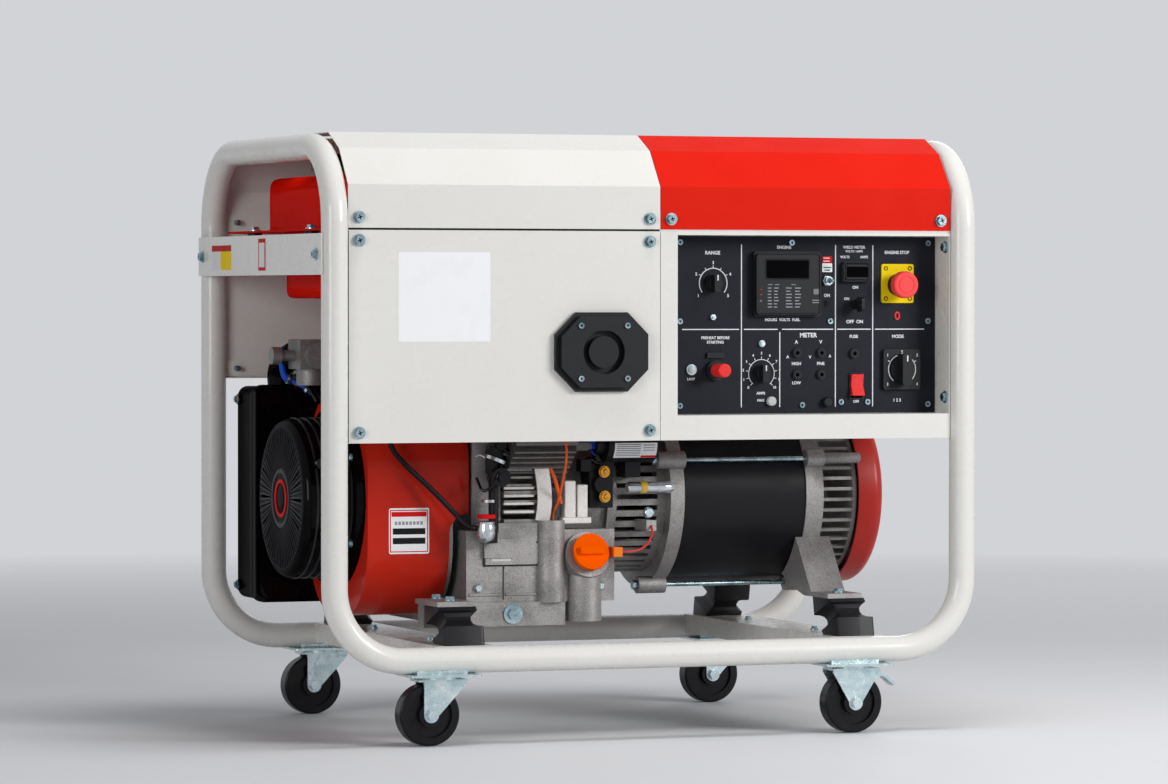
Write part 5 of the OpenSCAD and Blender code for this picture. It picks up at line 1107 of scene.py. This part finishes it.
cap_profile = [(0, -15), (7, -14), (12, -9), (13.5, -2), (13.5, 9), (12, 13), (12.6, 16), (10, 18),
               (0, 18)]
piece("plug_cap", [spun(cap_profile, (-222, -190, 298), Z, 32)], chrome, sharp=50)
piece("plug_band", [spun([(12.5, -3), (13.6, -2), (13.6, 2), (12.5, 3)], (-222, -190, 322), Z, 32)],
      ink_red)
clamp("tube_clamp_high", (-202, -172, 404), unit(np.array((0.4, 0, 1.0))), 15.5, 5, chrome)
clamp("tube_clamp_low", (-212, -174, 344), Z, 10.5, 4, steel)
wire("strap_orange", [(-116.7, -167, 398), (-109, -171, 378), (-104, -172, 360),
                      (-97.9, -169, 339)], 2.8, leads)
wire("loom_a", [(-196, -176, 424), (-176, -170, 414), (-158, -164, 421), (-140, -160, 430)], 4.0,
     gloss_black)
wire("loom_b", [(-232, -176, 378), (-226, -186, 360), (-214, -192, 366), (-204, -190, 384),
                (-196, -180, 402)], 2.2, gloss_black)
wire("loom_c", [(-60, -152, 398), (-46, -150, 404), (-30, -146, 396), (-20, -140, 404)], 3.0,
     gloss_black)
wire("tie_tail", [(-220, -178, 408), (-229, -182, 412), (-236, -184, 410)], 1.0, white_ink)
wire("fuel_hose_blue", [(-447, 95, 566), (-446, 93, 545), (-442, 92, 525), (-436, 90, 518)], 5.0,
     blue_plastic)
wire("fuel_hose_black", [(-459, 92, 556), (-446, 92, 547), (-430, 91, 541), (-415, 88, 533),
                         (-404, 84, 521), (-400, 70, 508)], 5.5, gloss_black)
wire("loom_left", [(-436, 92, 522), (-424, 88, 514), (-414, 80, 508), (-404, 74, 498),
                   (-400, 60, 488)], 4.0, blue_plastic)
wire("loom_left_black", [(-430, 84, 524), (-416, 76, 516), (-406, 66, 500), (-402, 50, 486)], 5.0,
     gloss_black)
clamp("hose_clip_a", (-437, 91, 520), X, 6.4, 4, chrome)
clamp("hose_clip_b", (-424, 87, 515), X, 6.4, 3, chrome)
clamp("hose_clip_c", (-409, 78, 505), unit(np.array((0.6, -0.4, -0.7))), 6.8, 4, chrome)
boxes = [brick((-147, -160, 408), (-133, -140, 428)), brick((-62, -156, 384), (-44, -136, 404)),
         brick((-36, -150, 398), (-18, -132, 410))]
piece("loom_boxes", boxes, gloss_black, bevel=2.0)
piece("loom_ties", [spun([(4.6, -1.5), (5.4, -1.5), (5.4, 1.5), (4.6, 1.5), (4.6, -1.5)],
                         at, X, 16) for at in ((-168, -167, 416), (-92, -145, 430))],
      steel, sharp=30)

print("wires, clamps and plugs placed")

# %% Starter label


def wrapped(x0, x1, a0, a1, radius, thick, centre_y=-148.0, centre_z=426.0):
    """Film bent round a lying cylinder: angle from a0 to a1 degrees above its front line."""
    a = np.radians(np.linspace(a0, a1, 10))
    arc_out = np.stack([np.cos(a), np.sin(a)], -1)
    section = np.vstack([arc_out * (radius + thick), arc_out[::-1] * radius])
    middle = (x0 + x1) / 2
    return carried(section, [(x, centre_y, centre_z) for x in (x0, middle, x1)], Z)


piece("starter_label", [wrapped(-15, 52, -48, 2, 28.1, 0.3)], white_enamel, sharp=50)
piece("starter_label_print", [wrapped(-12, 26, a, a + 2.4, 28.5, 0.1) for a in
                              range(-40, 2, 6)] + [wrapped(30, 48, a, a + 2.4, 28.5, 0.1)
                                                   for a in (-22, -14, -6)],
      grey_ink, "cream_paint", sharp=50)
piece("starter_label_bar", [wrapped(28, 52, -47, -39, 28.5, 0.12)], ink_red, sharp=50)
print("label bent round the starter motor")

# %% [markdown]
# ## Slanted rubber mounts
# The engine sits on four rubber blocks between steel plates. Each leans outwards to
# the rail beside it, with a waist in its middle. A block is a rectangle carried up a
# leaning line, wide at both ends and narrow between, and it stands for the upright
# block of the solid model. The small pads below the tank belong to the same node.

# %% Rubber mounts


def leaning(side, x0, x1, top_y, foot_y, z0, z1):
    """Rings of a leaning waisted block: at height t the middle leans from foot to top, the
    ring shrinks to `pinch` of its size, and it tips by `slope`, higher on its outer side."""
    t = np.array([0, 0.3, 0.34, 0.41, 0.5, 0.59, 0.66, 0.7, 1.0])[:, None]
    pinch = np.array([1, 1, 0.82, 0.68, 0.64, 0.68, 0.82, 1, 1])[:, None]
    slope = np.array([0, 0.4, 0.4, 0.4, 0.4, 0.4, 0.4, 0.4, 0])[:, None]
    middle = foot_y + (top_y - foot_y) * np.clip((t - 0.22) / 0.56, 0, 1)
    corner = oblong(2, 2, 0.14, 3)
    xs = (x0 + x1) / 2 + (x1 - x0) / 2 * corner[None, :, 0] * pinch
    depth = 30 * corner[None, :, 1] * pinch
    ys = side * (middle + depth)
    zs = z0 + (z1 - z0) * t - slope * depth
    n, m = xs.shape
    points = np.stack([xs, ys, zs], -1).reshape(-1, 3)
    return points, net(n, m, False, True) + [list(range(m))[::-1],
                                             list(range((n - 1) * m, n * m))]


blocks = [leaning(side, x0, x0 + 60, -220, -259, 141, 195)
          for x0 in (-318, 295) for side in (1, -1)]
pads = [spun([(0, 0), (10.5, 0), (11, 0.6), (11, 4.4), (10.5, 5), (0, 5)], (x, y, 733), Z, 32)
        for x in (-473, -59) for y in (-140, 140)]
mounts = piece("rubber_blocks", blocks + pads, rubber, bevel=0.8)
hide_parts("rubber_mounts")
print("blocks:", len(blocks), "pads:", len(pads))

# %% [markdown]
# ## Studio
# The photograph has a pale seamless sweep: a wide floor that melts into a pale wall.
# A round floor whose edge fades out gives that from every side. The lamps are wide
# and soft, with the key light high at the right, so shadows fall to the left. Camera
# rays see a paler world than the one that lights the machine.

# %% Floor


def disc(name, radius, rings, spokes):
    """Flat disc: point (i, j) lies at radius * (i / rings) in the direction 2 pi j / spokes."""
    r = radius * (np.arange(1, rings + 1) / rings)[:, None]
    a = 2 * np.pi * np.arange(spokes) / spokes
    points = np.stack([r * np.cos(a), r * np.sin(a), 0 * r * a], -1).reshape(-1, 3)
    points = np.vstack([points, [[0, 0, 0]]])
    i, j = np.meshgrid(np.arange(rings - 1), np.arange(spokes), indexing="ij")
    k = (j + 1) % spokes
    quads = np.stack([i * spokes + j, (i + 1) * spokes + j,
                      (i + 1) * spokes + k, i * spokes + k], -1).reshape(-1, 4)
    fan = [(len(points) - 1, n, (n + 1) % spokes) for n in range(spokes)]
    mesh = bpy.data.meshes.new(name)
    mesh.from_pydata(points.tolist(), [], [*quads.tolist(), *fan])
    made = bpy.data.objects.new(name, mesh)
    scene.collection.objects.link(made)
    return made


WALL = srgb(209, 211, 215)
f = Finish("studio floor")
x, y, z = f.axes()
reach = (x * x + y * y) ** 0.5
fade = reach.ramp(2.0, 5.2)
clear = f.add("ShaderNodeBsdfTransparent", {}, {})
f.end(Base_Color=srgb(222, 223, 226), Roughness=0.6 + f.noise(3.0) * 0.05,
      Specular_IOR_Level=0.2)
blend = f.add("ShaderNodeMixShader", {}, {0: fade, 1: Wire(f, f.shader.outputs[0]), 2: clear})
f.tree.links.new(blend.socket, f.tree.nodes["Material Output"].inputs["Surface"])
floor = disc("floor", 6.0, 24, 96)
floor.data.materials.append(f.material)
floor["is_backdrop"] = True
print("floor radius 6 m")

# %% Light
world = bpy.data.worlds.new("studio")
scene.world = world
world.use_nodes = True
tree = world.node_tree
tree.nodes.clear()
path = tree.nodes.new("ShaderNodeLightPath")
seen = path.outputs["Is Camera Ray"]
for ray in ("Is Glossy Ray", "Is Transmission Ray"):
    either = tree.nodes.new("ShaderNodeMath")
    either.operation = "MAXIMUM"
    tree.links.new(seen, either.inputs[0])
    tree.links.new(path.outputs[ray], either.inputs[1])
    seen = either.outputs[0]
lit, shown = (tree.nodes.new("ShaderNodeBackground") for _ in range(2))
lit.inputs["Color"].default_value = (0.93, 0.96, 1.0, 1)
lit.inputs["Strength"].default_value = 0.13
shown.inputs["Color"].default_value = (*WALL, 1)
both = tree.nodes.new("ShaderNodeMixShader")
out = tree.nodes.new("ShaderNodeOutputWorld")
tree.links.new(seen, both.inputs[0])
tree.links.new(lit.outputs[0], both.inputs[1])
tree.links.new(shown.outputs[0], both.inputs[2])
tree.links.new(both.outputs[0], out.inputs["Surface"])


def softbox(name, place, aim, width, height, power, colour=(1, 1, 1)):
    lamp = bpy.data.lights.new(name, "AREA")
    lamp.shape, lamp.size, lamp.size_y = "RECTANGLE", width, height
    lamp.energy, lamp.color = power, colour
    made = bpy.data.objects.new(name, lamp)
    scene.collection.objects.link(made)
    made.location = place
    made.rotation_mode = "QUATERNION"
    made.rotation_quaternion = (Vector(aim) - Vector(place)).to_track_quat("-Z", "Y")
    return made


MIDDLE = (0.0, 0.0, 0.45)
softbox("key", (2.9, -3.5, 1.9), MIDDLE, 1.5, 1.5, 136)
softbox("fill", (-4.2, -3.0, 1.3), MIDDLE, 1.8, 1.8, 72)
top = softbox("top", (0.3, -0.6, 3.4), MIDDLE, 1.6, 1.2, 50)
top.visible_glossy = False      # its mirror image would whiten the canopy's slope
softbox("back", (2.6, 3.2, 2.2), MIDDLE, 2.0, 1.6, 22)
print("lamps: 4")

# %% [markdown]
# ## Where things show
# The last cell measures how far each edge and each feature shows from its image
# point, and prints that.

# %% Measure and finish


def shown_extent():
    """Left, right, top and bottom pixel of all the finished vertices."""
    dg = bpy.context.evaluated_depsgraph_get()
    low, high = [1e9, 1e9], [-1e9, -1e9]
    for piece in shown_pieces():
        mesh = piece.evaluated_get(dg).to_mesh()
        co = np.empty(len(mesh.vertices) * 3, np.float32)
        mesh.vertices.foreach_get("co", co)
        co = co.reshape(-1, 3) @ np.array(piece.matrix_world.to_3x3()).T
        co = co + np.array(piece.matrix_world.translation) - np.array(CAM_PLACE)
        scale = L * LENS / SENSOR / (co @ np.array(cam_forward))
        px = W / 2 - SHIFT_X * L + co @ np.array(cam_right) * scale
        py = H / 2 + SHIFT_Y * L - co @ np.array(cam_up) * scale
        low = [min(low[0], px.min()), min(low[1], py.min())]
        high = [max(high[0], px.max()), max(high[1], py.max())]
        piece.evaluated_get(dg).to_mesh_clear()
    return {"left": low[0], "right": high[0], "top": low[1], "bottom": high[1]}


FEATURES = {
    "canopy_bolt_left": (-0.454, -0.3095, 0.756),
    "canopy_bolt_right": (0.454, -0.3095, 0.756),
    "panel_bolt_low": (-0.454, -0.3095, 0.449),
    "receptacle": (-0.0865, -0.318, 0.563),
    "mushroom": (0.4055, -0.292, 0.661),
    "range_knob": (0.110, -0.256, 0.663),
    "current_knob": (0.187, -0.256, 0.530),
    "changeover": (0.4115, -0.262, 0.535),
    "front_right_axle": (0.310, -0.33, 0.045),
    "front_left_axle": (-0.351, -0.33, 0.045),
}
extent = shown_extent()
rows = {name: [round(float(extent[name]) - want, 1)] for name, want in EDGES.items()}
for name, place in {**FEATURES, **SPOTS}.items():
    at = seen_at(place)
    rows[name] = [round(at[0] - POINTS[name][0], 1), round(at[1] - POINTS[name][1], 1)]
print("off their points, in pixels:", rows)
